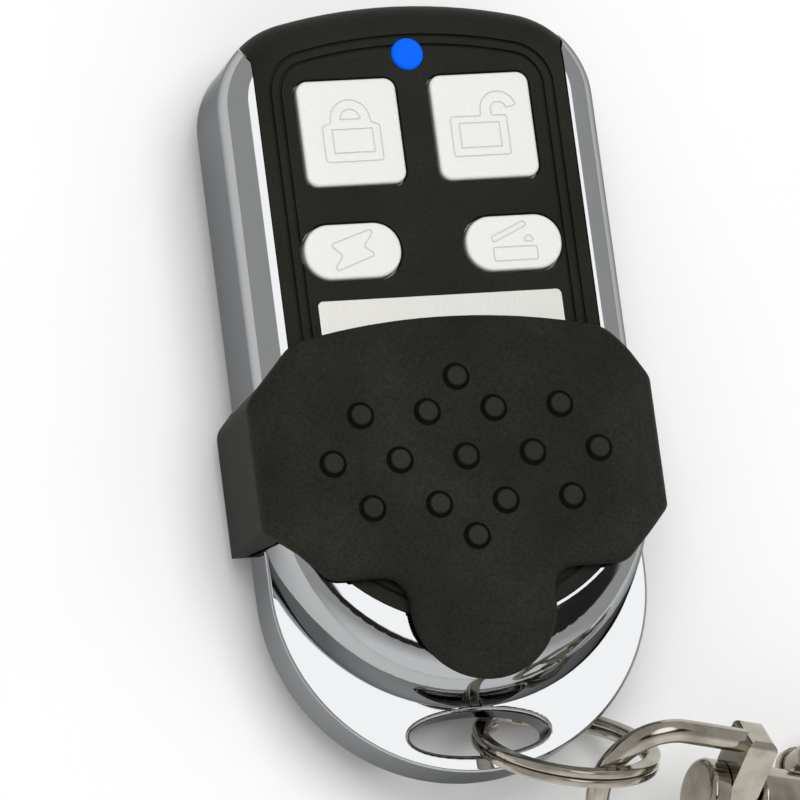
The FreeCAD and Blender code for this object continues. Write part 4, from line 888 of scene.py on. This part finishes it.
# %% Room and lamp
CARD_MIDDLE = (0.17, 0.13)
CARD_REACH = (0.21, 0.33)
CARD_LEVEL = 1.95
FLAG_MIDDLE = (0.17, -0.1)
FLAG_REACH = (0.4, 0.3)
FLAG_LEVEL = 0.03
ROOM_LEVEL = 0.53
FRONT_LEVEL = 1.05
SOFT_EDGE = 1.12
FRONT_ENDS = -0.85
ROOM_STARTS = -0.5
LAMP_PLACE = Vector((-0.05, 0.2, 0.9))
LAMP_SIZE = 0.8
LAMP_POWER = 4.8

world = bpy.data.worlds.new("studio_tent")
bpy.context.scene.world = world
world.use_nodes = True
world.node_tree.nodes.clear()
direction = add(world.node_tree, "ShaderNodeTexCoord").outputs["Generated"]


def patch(middle, reach, level, beyond):
    """The room's level with an oval soft-edged patch overhead, and what lies beyond the patch."""
    offset = add(world.node_tree, "ShaderNodeVectorMath", {
        0: direction, 1: (*middle, 0.0)}, operation="SUBTRACT").outputs[0]
    scaled = add(world.node_tree, "ShaderNodeVectorMath", {
        0: offset, 1: (1 / reach[0], 1 / reach[1], 0.0)}, operation="MULTIPLY").outputs[0]
    away = add(world.node_tree, "ShaderNodeVectorMath", {0: scaled}, operation="LENGTH").outputs["Value"]
    return add(world.node_tree, "ShaderNodeMapRange", {
        "Value": away, "From Min": 1.0, "From Max": SOFT_EDGE, "To Min": level, "To Max": beyond},
        interpolation_type="SMOOTHSTEP").outputs[0]


forward = add(world.node_tree, "ShaderNodeSeparateXYZ", {0: direction}).outputs["Y"]
room = add(world.node_tree, "ShaderNodeMapRange", {
    "Value": forward, "From Min": FRONT_ENDS, "From Max": ROOM_STARTS,
    "To Min": FRONT_LEVEL, "To Max": ROOM_LEVEL}).outputs[0]
flagged = patch(FLAG_MIDDLE, FLAG_REACH, FLAG_LEVEL, room)
level = patch(CARD_MIDDLE, CARD_REACH, CARD_LEVEL, flagged)
sky = add(world.node_tree, "ShaderNodeBackground", {
    "Color": linear("#ffffff"), "Strength": level})
add(world.node_tree, "ShaderNodeOutputWorld", {"Surface": sky.outputs[0]})


def soft_lamp(name, place, size, power):
    """A square lamp that faces the middle of the remote."""
    light = bpy.data.lights.new(name, "AREA")
    light.shape = "SQUARE"
    light.size = size
    light.energy = power
    lamp = bpy.data.objects.new(name, light)
    lamp.location = place
    lamp.rotation_euler = (-place).to_track_quat("-Z", "Y").to_euler()
    lamp.visible_glossy = False
    bpy.context.scene.collection.objects.link(lamp)


soft_lamp("lamp_overhead", LAMP_PLACE, LAMP_SIZE, LAMP_POWER)
print("room and lamp set")
